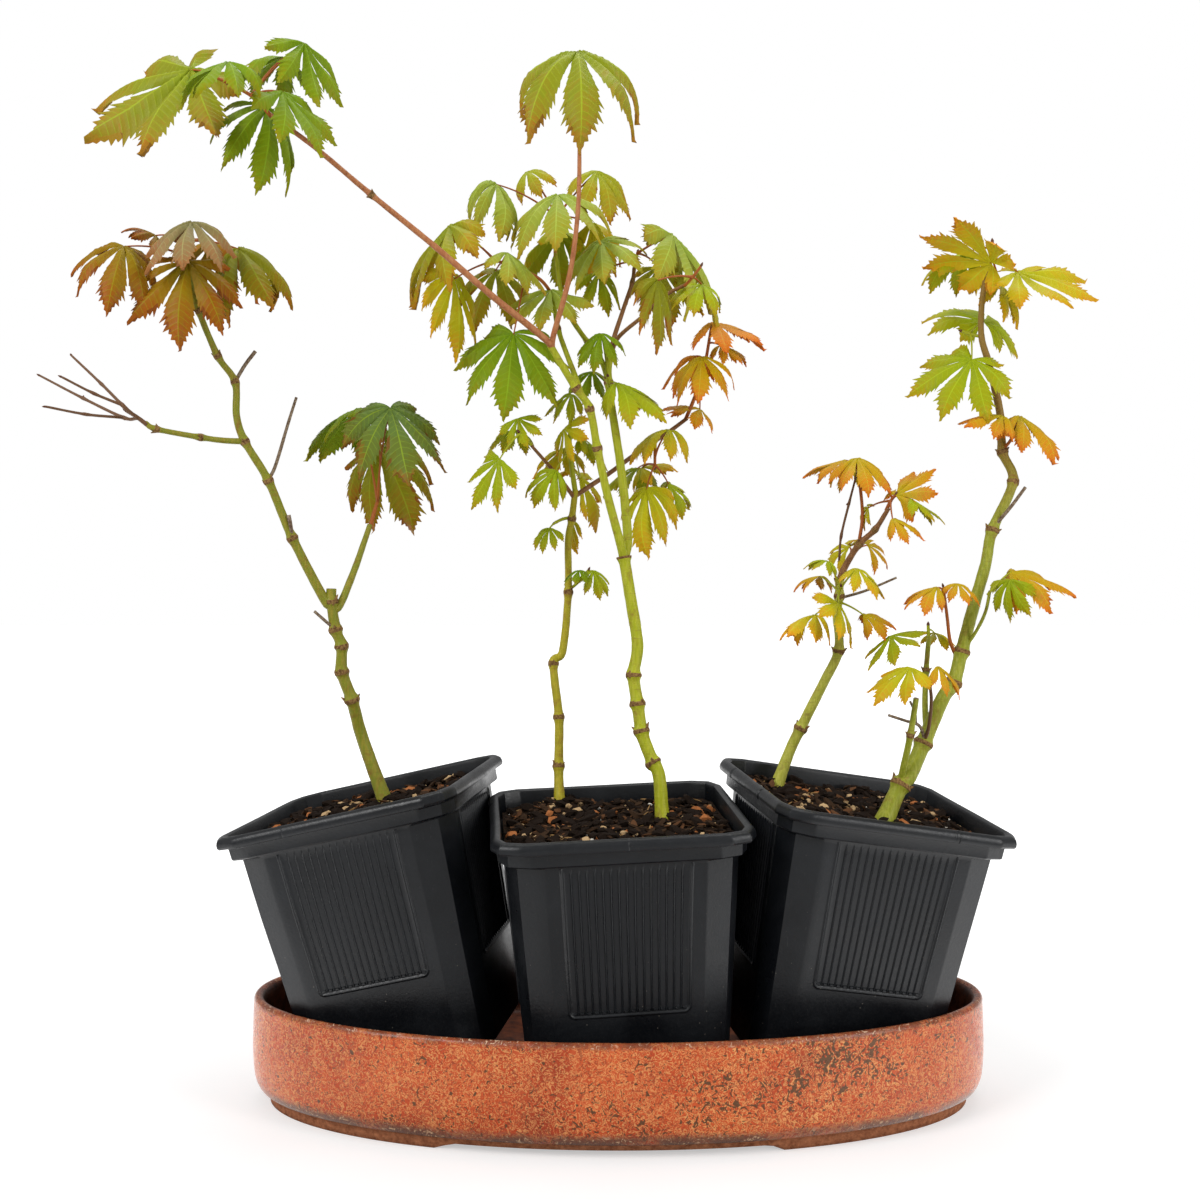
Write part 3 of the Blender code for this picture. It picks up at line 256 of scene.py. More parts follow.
def mottled_finish(name, color, roughness, specular, grain, stops, bump):
    """A matt surface whose colour runs through the stops with the noise that also dents it."""
    shade = Shade(name, color, roughness, specular)
    rough = shade.noise(*grain)
    shade.feed("Base Color", shade.ramp(rough, *stops))
    shade.bump(rough, bump)
    return shade.material


# Meshes

def in_metres(points):
    return [Vector(point) * MM for point in points]


class Surface:
    """Vertices and faces gathered from many small shapes, each face with its material's index."""

    def __init__(self):
        self.verts = []
        self.faces = []
        self.indices = []

    def add(self, verts, faces, index=0):
        base = len(self.verts)
        self.verts += [vert + MIDDLE for vert in verts]
        self.faces += [tuple(base + corner for corner in face) for face in faces]
        self.indices += index if isinstance(index, list) else [index] * len(faces)

    def add_rings(self, rings, index=0, cap_start=True, cap_end=True):
        """A tube through closed rings of equal counts; index may be a list, one for each band."""
        count = len(rings[0])
        bands = index if isinstance(index, list) else [index] * (len(rings) - 1)
        faces = []
        for row in range(len(bands)):
            for i in range(row * count, (row + 1) * count):
                j = i + 1 if (i + 1) % count else i + 1 - count
                faces.append((i, j, j + count, i + count))
        indices = [band for band in bands for _ in range(count)]
        if cap_start:
            faces.append(tuple(range(count))[::-1])
            indices.append(bands[0])
        if cap_end:
            faces.append(tuple(range(len(bands) * count, (len(bands) + 1) * count)))
            indices.append(bands[-1])
        self.add([vert for ring in rings for vert in ring], faces, indices)

    def piece(self, name, materials, slot, *nodes, smooth=True):
        """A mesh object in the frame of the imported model, in place of the nodes."""
        mesh = bpy.data.meshes.new(name)
        mesh.from_pydata([tuple(vert) for vert in self.verts], [], self.faces)
        for material in materials:
            mesh.materials.append(material)
        mesh.polygons.foreach_set("material_index", self.indices)
        if smooth:
            mesh.shade_smooth()
        item = bpy.data.objects.new(name, mesh)
        bpy.context.scene.collection.objects.link(item)
        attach(item, "root")
        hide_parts(*nodes)
        return item


def noise_at(point, scale, seed):
    """Smooth noise from -1 to 1."""
    return noise.noise(point * scale + Vector((seed, 3.7 * seed, -1.9 * seed)))


# Stems, boughs and twigs

def fine_curve(points):
    """Many points on a smooth curve through the given ones, and the index of each given one."""
    ends = [2 * points[0] - points[1], *points, 2 * points[-1] - points[-2]]
    fine = []
    marks = []
    for a, b, c, d in zip(ends, ends[1:], ends[2:], ends[3:]):
        marks.append(len(fine))
        for step in range(PATH_STEPS):
            t = step / PATH_STEPS
            fine.append(0.5 * (2 * b + (c - a) * t + (2 * a - 5 * b + 4 * c - d) * t * t
                               + (3 * b - a - 3 * c + d) * t ** 3))
    return [*fine, points[-1]], [*marks, len(fine)]


def smooth_path(points, nodes=()):
    """Points along a smooth curve, each with its swelling and its share of the length."""
    fine, marks = fine_curve(points)
    along = [0.0]
    for a, b in zip(fine, fine[1:]):
        along.append(along[-1] + (b - a).length)
    total = along[-1]
    knots = [along[marks[index]] for index in nodes]
    count = max(2, round(total / RING_SPACING))
    places = {total * step / count for step in range(count + 1)}
    for knot in knots:
        beside = [knot + offset * NODE_HALF_LENGTH for offset in (-1.0, -0.5, -0.25, 0.25, 0.5, 1.0)]
        places.update(place for place in beside if 0.0 < place < total)
    samples = []
    i = 0
    last = -1.0
    for place in sorted(places):
        if place - last < 0.0002:
            continue
        last = place
        while i < len(fine) - 2 and along[i + 1] < place:
            i += 1
        share = (place - along[i]) / max(along[i + 1] - along[i], 1e-9)
        swell = sum(math.exp(-(abs(place - knot) / NODE_HALF_LENGTH * 1.1) ** 2) for knot in knots)
        samples.append((fine[i].lerp(fine[i + 1], share), swell, place / total))
    return samples


def tube_rings(samples, start_radius, end_radius, sides, relief=0.0, seed=0.0, foot_normal=None):
    """Rings of a tapering tube, kept from twisting, with swollen nodes and uneven bark. A trunk
    is cut square to foot_normal at its foot, and flares there."""
    rings = []
    side_axis = None
    centres = [sample[0] for sample in samples]
    length = sum((b - a).length for a, b in zip(centres, centres[1:]))
    for i, (centre, swell, share) in enumerate(samples):
        tangent = (centres[min(i + 1, len(centres) - 1)] - centres[max(i - 1, 0)]).normalized()
        radius = start_radius + (end_radius - start_radius) * share
        radius *= 1 + NODE_SWELL * swell
        if foot_normal is not None:
            radius *= 1 + ROOT_FLARE * math.exp(-share * length / ROOT_FLARE_LENGTH)
            if i == 0:
                tangent = foot_normal.normalized()
        if side_axis is None:
            side_axis = tangent.orthogonal().normalized()
        side_axis = (side_axis - tangent * side_axis.dot(tangent)).normalized()
        other_axis = tangent.cross(side_axis)
        ring = []
        for k in range(sides):
            angle = 2 * math.pi * k / sides
            out = side_axis * math.cos(angle) + other_axis * math.sin(angle)
            point = centre + out * radius
            if relief:
                rough = noise_at(point, 900.0, seed) * (0.6 + 1.6 * swell)
                rough += noise_at(point, 160.0, seed + 4.0) * 1.2
                point = point + out * rough * relief
            ring.append(point)
        rings.append(ring)
    return rings


def seat_matrix(pot):
    middle, turn, tip, lean = POT_SEATS[pot]
    rotation = Euler((math.radians(tip), math.radians(lean), math.radians(turn)), "ZXY")
    return Matrix.Translation(Vector(middle) * MM) @ rotation.to_matrix().to_4x4()


class Limb:
    """One tapering trunk or bough: its route and its radii at both ends in millimetres, which of
    its points are nodes, its stubs, and its bark where that isn't its tree's own."""

    def __init__(self, points, radii, nodes=(), stubs=(), bark=None):
        self.points = in_metres(points)
        self.radii = [radius * MM for radius in radii]
        self.nodes = nodes
        self.stubs = stubs
        self.bark = bark

    def grow(self, name, surface):
        """Bark in three indices: 0 the stem, 1 the scars of its nodes, 2 cut ends and stubs."""
        seed = float(sum(ord(letter) for letter in name) % 97)
        points, foot_normal, sides = self.points, None, BOUGH_SIDES
        if name in FEET:
            pot, x, y, mound = FEET[name]
            seat = seat_matrix(pot)
            points = [seat @ Vector((x, y, -SOIL_DEPTH + mound - FOOT_SINK)), *points]
            foot_normal, sides = seat.to_3x3() @ Vector((0.0, 0.0, 1.0)), TRUNK_SIDES
        samples = smooth_path(points, self.nodes)
        rings = tube_rings(samples, *self.radii, sides, BARK_RELIEF * self.radii[0], seed, foot_normal)
        indices = []
        for ring, a, b in zip(rings, samples, samples[1:]):
            for point in ring:
                edge = SCAR_EDGE + SCAR_UNEVEN * noise_at(point, 700.0, seed)
                indices.append(int((a[1] + b[1]) / 2 > edge))
        first = len(surface.indices)
        surface.add_rings(rings, 0, cap_start=False, cap_end=False)
        surface.indices[first:] = indices
        end = sum(rings[-1], Vector()) / sides
        inner = [point.lerp(end, 0.25) + (end - samples[-2][0]) * 0.15 for point in rings[-1]]
        surface.add_rings([rings[-1], inner], 2, cap_start=False)
        self.grow_scars(samples, surface, seed)
        for route, *radii in self.stubs:
            stub = smooth_path(in_metres(route))
            radii = [radius * MM for radius in radii]
            surface.add_rings(tube_rings(stub, *radii, STUB_SIDES, 0.00005, seed), 2)

    def grow_scars(self, samples, surface, seed):
        """A pair of small buds at each node."""
        rng = random.Random(f"{SEED} buds {seed}")
        last = -1.0
        for (centre, swell, share), after in zip(samples, samples[1:]):
            if swell < 0.93 or share - last < 0.02:
                continue
            last = share
            tangent = (after[0] - centre).normalized()
            side = tangent.orthogonal().normalized()
            side = Matrix.Rotation(rng.uniform(0, math.pi), 3, tangent) @ side
            radius = self.radii[0] + (self.radii[1] - self.radii[0]) * share
            for way in (side, -side):
                start = centre + way * radius * 0.8
                tip = start + (way * 0.8 + tangent * rng.uniform(0.5, 1.1)) * (0.0011 + 0.70 * radius)
                bud = [(start, 0.0, 0.0), (start.lerp(tip, 0.5), 0.0, 0.5), (tip, 0.0, 1.0)]
                surface.add_rings(tube_rings(bud, 0.00045 + 0.36 * radius, 0.0002, 6), 1)


# Leaves

class Leaf:
    """A palmate leaf: where its petiole ends (mm), the way its middle lobe points, and its size.

    heading is the compass turn of the middle lobe from +X, and hang is its slope below level, in
    degrees. curl is how far each lobe bends down to its tip, in radians, and roll tips the blade
    sideways about its middle lobe, in degrees.
    """

    def __init__(self, x, y, z, heading, hang, length, curl=0.7, roll=0.0, sag=1.0):
        self.at = Vector((x, y, z)) * MM
        self.length = length * MM
        self.curl = curl
        self.droop = SIDE_DROOP * sag
        heading = math.radians(heading)
        hang = math.radians(hang)
        forward = Vector((math.cos(heading) * math.cos(hang), math.sin(heading) * math.cos(hang),
                          -math.sin(hang)))
        side = Vector((-math.sin(heading), math.cos(heading), 0.0))
        side = Matrix.Rotation(math.radians(roll), 3, forward) @ side
        self.axes = (forward, side, forward.cross(side))

    def place(self, radius, angle, lift=0.0):
        """The point at a radius (as a share of the length) and an angle on the curled blade."""
        bend = self.curl * radius
        run = math.sin(bend) / self.curl
        drop = (1 - math.cos(bend)) / self.curl
        forward, side, up = self.axes
        flat = forward * math.cos(angle) + side * math.sin(angle)
        normal = up * math.cos(bend) + flat * math.sin(bend)
        arm = (flat * run - up * drop) * self.length + normal * lift
        droop = self.droop * radius * math.sin(angle / 2) ** 2
        level = math.hypot(arm.x, arm.y)
        if level > 1e-6 and droop > 0.0:
            slope = math.atan2(arm.z, level)
            sunk = max(min(slope, STEEPEST), slope - droop)
            run = math.cos(sunk) / level
            arm = Vector((arm.x * run, arm.y * run, math.sin(sunk))) * arm.length
        return self.at + arm

    def blade(self, surface, rng, tint):
        """The blade: a strip for each lobe, with toothed edges, side veins and drooping tips."""
        lobes = []
        for angle, share in sorted({(way * angle, share) for angle, share in
                                    LOBES[:4 if self.length >= BROAD_LEAF else 3] for way in (-1, 1)}):
            reach = share * rng.uniform(0.94, 1.04)
            lobes.append((angle + rng.uniform(-1.5, 1.5), reach, rng.uniform(-1.0, 1.0)))
        fold = rng.uniform(-0.055, -0.02) * self.length
        angles = [angle for angle, _, _ in lobes]
        gaps = [OUTER_LIMIT, *[(b - a) / 2 for a, b in zip(angles, angles[1:])], OUTER_LIMIT]
        for lobe, *limits in zip(lobes, gaps, gaps[1:]):
            self.lobe(surface, rng, tint, *lobe, limits, fold)

    def lobe(self, surface, rng, tint, angle, reach, sway, limits, fold):
        """One lobe, joined to the next along the line halfway between them, up to the notch."""
        rows = 2 * round((7 + self.length / TOOTH_STEP) * (0.45 + 0.55 * reach))
        width = LOBE_HALF_WIDTH * reach ** 0.4 * rng.uniform(0.93, 1.07)
        ripple = rng.uniform(0.0, 6.0)
        twist = rng.uniform(-0.65, 0.65)
        bow = rng.uniform(-0.12, 0.02)
        verts = [self.place(0.0, 0.0)]
        steps = [0.0]
        for row in range(1, rows):
            for vein in (-VEIN_SHARE, VEIN_SHARE) if row % 2 else (0.0,):
                t = (row + vein) / rows
                steps.append(t)
                along = reach * t
                half = width * np.interp(t, LOBE_PLACES, LOBE_WIDTHS)
                size, ahead, wave = -TOOTH_NOTCH, 0.0, -BLISTER
                if row % 2:
                    size, ahead = (BIG_TOOTH, 1.5) if row % 4 == 1 else (SMALL_TOOTH, 0.8)
                    ahead *= min(1.0, 2.5 * (1.0 - t))
                    wave = BLISTER
                for column in COLUMNS:
                    tangent = math.tan(math.radians(limits[column > 0]))
                    limit = along * tangent / (1.0 - VEIN_SLANT * tangent)
                    free = min(1.0, max(0.0, (limit - half) / (0.06 * reach)))
                    tooth = free * abs(column) ** 4
                    y = min(limit, half) * (1.0 + size * tooth) * column
                    x = along + VEIN_SLANT * abs(y) * min(1.0, 2.2 * (1.0 - t) + 0.25)
                    x += ahead / rows * reach * tooth
                    y += sway * 0.07 * reach * max(0.0, t - 0.4) ** 2 * 2.8
                    radius = math.hypot(x, y)
                    lift = wave + RIPPLE * math.sin(9.0 * t + ripple)
                    lift *= math.sin(math.pi * abs(column))
                    lift += EDGE_WAVE * free * math.sin(5.0 * t + 2.0 * ripple)
                    lift += twist * y * t + bow * t ** 3
                    lift = lift * self.length + fold * abs(column) * min(1.0, 4.0 * radius)
                    verts.append(self.place(radius, math.radians(angle) + math.atan2(y, x), lift))
        verts.append(self.place(reach, math.radians(angle + 2.4 * sway), bow * self.length))
        steps.append(1.0)
        self.add_faces(surface, rng, tint, verts, steps, rows)

    def add_faces(self, surface, rng, tint, verts, steps, rows):
        """The faces of a lobe between its hub, its rows of points and its tip."""
        count = len(COLUMNS)
        middle = (count - 2) // 2
        faces = []
        indices = []
        for row, (before, after) in enumerate(zip(steps, steps[1:])):
            for column in range(count - 1):
                high = 1 + row * count + column
                low = high - count
                if row == 0:
                    faces.append((0, high + 1, high))
                elif after == 1.0:
                    faces.append((low, low + 1, len(verts) - 1))
                else:
                    faces.append((low, low + 1, high + 1, high))
                edge = abs(column - middle) / middle
                on_side_vein = after - before < 0.5 / rows and edge < 0.9
                indices.append(tint.pick((before + after) / 2, edge, column == middle, on_side_vein,
                                         verts[faces[-1][0]], rng))
        surface.add(verts, faces, indices)

    def petiole(self, start, rng, surface, index):
        """A thin stalk from a stem to the hub of the blade, bowed up and thicker at its foot."""
        end = self.place(0.012, rng.uniform(0.1, 0.25), -0.0002)
        rise = Vector((rng.uniform(-0.04, 0.04), rng.uniform(-0.04, 0.04), 0.12))
        middle = start.lerp(end, 0.5) + rise * (end - start).length
        route = []
        for step in range(15):
            t = step / 14
            point = start * (1 - t) ** 2 + middle * 2 * t * (1 - t) + end * t * t
            route.append((point, 1.6 * math.exp(-9.0 * t), t))
        surface.add_rings(tube_rings(route, PETIOLE_RADIUS, PETIOLE_RADIUS * 0.6, THIN_SIDES), index)


class Mass:
    """A spray: a tint for each of its leaves, the colour of its stalks, the radii and route of
    its stem, its leaves, each a row of what Leaf takes, and its bare twigs."""

    def __init__(self, tints, stalk, radii, stem, leaves=(), twigs=()):
        self.tints = tints.split()
        self.stalk = stalk
        self.radii = [radius * MM for radius in radii]
        self.stem = in_metres(stem)
        self.leaves = [Leaf(*leaf) for leaf in leaves]
        self.twigs = twigs

    def root_of(self, leaf):
        """The point of the outer half of the stem that is nearest to a leaf."""
        spans = zip(self.stem, self.stem[1:])
        points = [a.lerp(b, step / 8) for a, b in spans for step in range(8)]
        return min(points[len(points) // 2:], key=lambda point: (point - leaf.at).length)

    def grow(self, name, surface, places):
        """One spray: its stem with small buds, bare twigs, and leaves on their stalks."""
        stalk, twig, bud = places[self.stalk], places["twig"], places["bud"]
        stem = smooth_path(self.stem)
        surface.add_rings(tube_rings(stem, *self.radii, STEM_SIDES, 0.00004), stalk)
        rng = random.Random(f"{SEED} buds {name}")
        add_bud(surface, *self.stem[-2:], self.radii[1], rng, bud)
        for route, *radii in self.twigs:
            points = in_metres(route)
            samples = smooth_path(points, range(1, len(points) - 1))
            radii = [radius * MM for radius in radii]
            surface.add_rings(tube_rings(samples, *radii, THIN_SIDES, 0.00006), twig)
            add_bud(surface, *points[-2:], radii[1], rng, bud)
            for point, ahead in zip(points[1:-1], points[2:]):
                add_bud(surface, point, ahead, radii[1], rng, bud, from_side=True)
        for index, (leaf, tint) in enumerate(zip(self.leaves, self.tints)):
            rng = random.Random(f"{SEED} {name} {index}")
            leaf.blade(surface, rng, TINTS[tint])
            leaf.petiole(self.root_of(leaf), rng, surface, stalk)


def add_bud(surface, start, end, radius, rng, index, from_side=False):
    """A small pointed bud at the end of a twig, or from its side at its start."""
    side = Vector([rng.uniform(-1, 1) for _ in range(3)])
    way = ((end - start).normalized() + side * (0.9 if from_side else 0.25)).normalized()
    at = start if from_side else end
    loops = []
    for place, width in BUD_PROFILE:
        centre = at + way * (BUD_LENGTH + radius) * place
        pair = [(centre, 0.0, 0.0), (centre + way * 0.0001, 0.0, 1.0)]
        loops.append(tube_rings(pair, radius * width, radius * width, THIN_SIDES)[0])
    surface.add_rings(loops, index)


# Feet of the trunks: pot, place in it, and height of the soil's mound there, in metres
FEET = {
    "left_trunk": ("left", 0.003, 0.020, 0.0),
    "slender_trunk": ("middle", -0.026, 0.043, 0.0040),
    "tall_trunk": ("middle", 0.025, 0.005, 0.0),
    "short_trunk": ("right", -0.032, 0.042, 0.0),
    "stout_trunk": ("right", 0.005, -0.022, 0.0),
}

# Trunks and boughs, each from its foot to its tip
LIMBS = {
    # Left tree: a leaning trunk cut off above its fork
    "left_trunk": Limb(
        [(-139, 24, 185), (-144, 19, 207), (-149, 17, 222), (-149, 16, 236), (-152, 15, 245),
        (-154, 14, 260), (-154, 14, 267)], (3.7, 2.7), (2, 3, 4, 5, 6),
        stubs=[([(-152, 15, 245), (-157, 11, 250), (-162, 8, 255)], 0.9, 0.8)]),
    "left_leader": Limb(
        [(-154, 14, 258), (-158, 13, 262), (-173, 5, 294), (-184, -3, 324), (-195, -8, 344),
        (-199, -9, 357), (-200, -8, 375), (-208, -12, 388), (-216, -18, 410), (-221, -21, 429)],
        (2.7, 1.4), (2, 3, 4, 6, 7, 8),
        stubs=[([(-184, -3, 324), (-182, 6, 333), (-177, 14, 356), (-173, 16, 370)], 1.0, 0.8),
        ([(-200, -8, 375), (-196, -4, 384), (-191, -1, 392)], 1.0, 1.0),
        ([(-173, 5, 294), (-173, 1, 300), (-174, 0, 306)], 0.9, 1.1)]),
    "left_bare_bough": Limb(
        [(-195, -8, 344), (-205, -14, 344), (-215, -20, 345), (-234, -32, 348), (-239, -34, 351)],
        (1.6, 1.3), (2, 3)),
    "left_right_bough": Limb(
        [(-154, 14, 256), (-150, 16, 258), (-143, 24, 278), (-136, 32, 302)], (2.2, 1.5)),
    # Slender tree, at the back of the middle pot
    "slender_trunk": Limb(
        [(-32, 19, 171), (-32, 23, 197), (-35, 27, 226), (-30, 28, 233), (-27, 29, 265), (-27, 28, 293),
        (-25, 27, 305), (-23, 26, 321)], (2.6, 1.7), (1, 2, 3, 5, 7)),
    "slender_left_bough": Limb(
        [(-24, 26, 317), (-30, 19, 325), (-37, 11, 333), (-47, 0, 344)], (1.2, 0.8), bark="brown"),
    "slender_right_bough": Limb(
        [(-24, 26, 317), (-14, 31, 324), (-4, 36, 331), (12, 41, 343), (27, 44, 353), (39, 46, 362)],
        (1.4, 1.1), (4,), bark="brown"),
    # Tall tree, in the middle pot: a fork of two, a long bough out to the left, a top shoot
    "tall_trunk": Limb(
        [(21, -17, 170), (18, -15, 177), (15, -14, 184), (12, -12, 193), (10, -10, 207), (8, -8, 222),
        (10, -7, 238), (6, -4, 265), (3, -2, 284)], (3.4, 3.0), (2, 4, 5, 6, 9)),
    "tall_left_fork": Limb(
        [(3, -2, 282), (1, -6, 291), (-6, -11, 317), (-11, -14, 340), (-15, -18, 360), (-22, -22, 370),
        (-35, -28, 391)], (2.4, 1.8), (3, 4, 5)),
    "tall_right_fork": Limb(
        [(3, -2, 282), (5, 3, 292), (4, 5, 309), (1, 7, 335), (-5, 10, 377), (-4, 12, 393)], (2.6, 1.9),
        (4, 5)),
    "tall_long_bough": Limb(
        [(-34, -27, 390), (-38, -32, 394), (-63, -49, 412), (-89, -60, 433), (-119, -70, 456),
        (-145, -76, 477), (-166, -78, 492)], (1.8, 1.1), (4,), bark="salmon"),
    "tall_top_shoot": Limb(
        [(-34, -27, 389), (-33, -31, 396), (-26, -38, 419), (-22, -42, 441), (-20, -42, 468),
        (-20, -36, 508)], (1.5, 0.9), bark="salmon"),
    "tall_back_bough": Limb(
        [(-15, -18, 360), (-19, -8, 368), (-23, 0, 380), (-32, 11, 406), (-35, 16, 427)], (1.7, 1.1),
        (3,)),
    "tall_rear_bough": Limb(
        [(-5, 10, 378), (-9, 16, 390), (-16, 22, 400), (-29, 27, 422), (-34, 28, 450)], (1.6, 1.1), (2,)),
    "tall_side_bough": Limb(
        [(-4, 12, 391), (-2, 15, 402), (3, 21, 418), (8, 26, 434), (9, 28, 442)], (1.4, 1.0), (3,),
        bark="brown"),
    "tall_low_bough": Limb(
        [(-4, 12, 391), (0, 4, 400), (12, -12, 408), (24, -24, 417), (34, -32, 421)], (1.2, 0.9),
        bark="brown"),
    # Short tree, at the back left of the right pot
    "short_trunk": Limb(
        [(95, 34, 177), (101, 33, 190), (113, 30, 215), (121, 28, 233), (120, 27, 252), (121, 26, 263),
        (121, 26, 273)], (3.2, 2.2), (2, 4, 6, 7),
        stubs=[([(122, 26, 262), (134, 18, 266), (149, 10, 273)], 0.8, 0.6)]),
    "short_bough": Limb(
        [(121, 26, 271), (124, 25, 279), (131, 22, 291), (139, 18, 299), (145, 12, 310)], (2.0, 1.2),
        (2, 3), bark="brown"),
    # Stout tree, in the right pot, its leader running up through its leaves
    "stout_trunk": Limb(
        [(145, -21, 166), (150, -19, 171), (158, -15, 187), (169, -11, 210), (175, -9, 218),
        (180, -6, 234), (187, -2, 257), (194, 0, 280), (198, 2, 298), (210, 6, 324), (205, 8, 340),
        (204, 10, 361), (199, 12, 386), (195, 13, 401), (195, 14, 418), (197, 14, 433), (199, 14, 440)],
        (4.4, 1.3), (1, 3, 5, 6, 9, 10, 11),
        stubs=[([(199, 2, 300), (206, -4, 310), (212, -10, 320)], 1.0, 0.9),
        ([(159, -16, 188), (154, -24, 197), (146, -28, 200), (137, -30, 203)], 0.9, 0.7),
        ([(152, -25, 198), (151, -28, 204), (148, -30, 210)], 0.7, 0.6)]),
    "stout_cut_stem": Limb(
        [(145, -21, 167), (146, -26, 178), (148, -31, 193), (150, -35, 212)], (1.9, 1.4), (2,)),
    "stout_rear_stem": Limb(
        [(160, -14, 192), (162, -1, 206), (165, 10, 223), (168, 17, 241)], (1.7, 1.3), (2,)),
    "stout_right_shoot": Limb(
        [(181, -4, 235), (186, -10, 244), (190, -15, 255), (191, -20, 266)], (1.0, 0.8)),
}

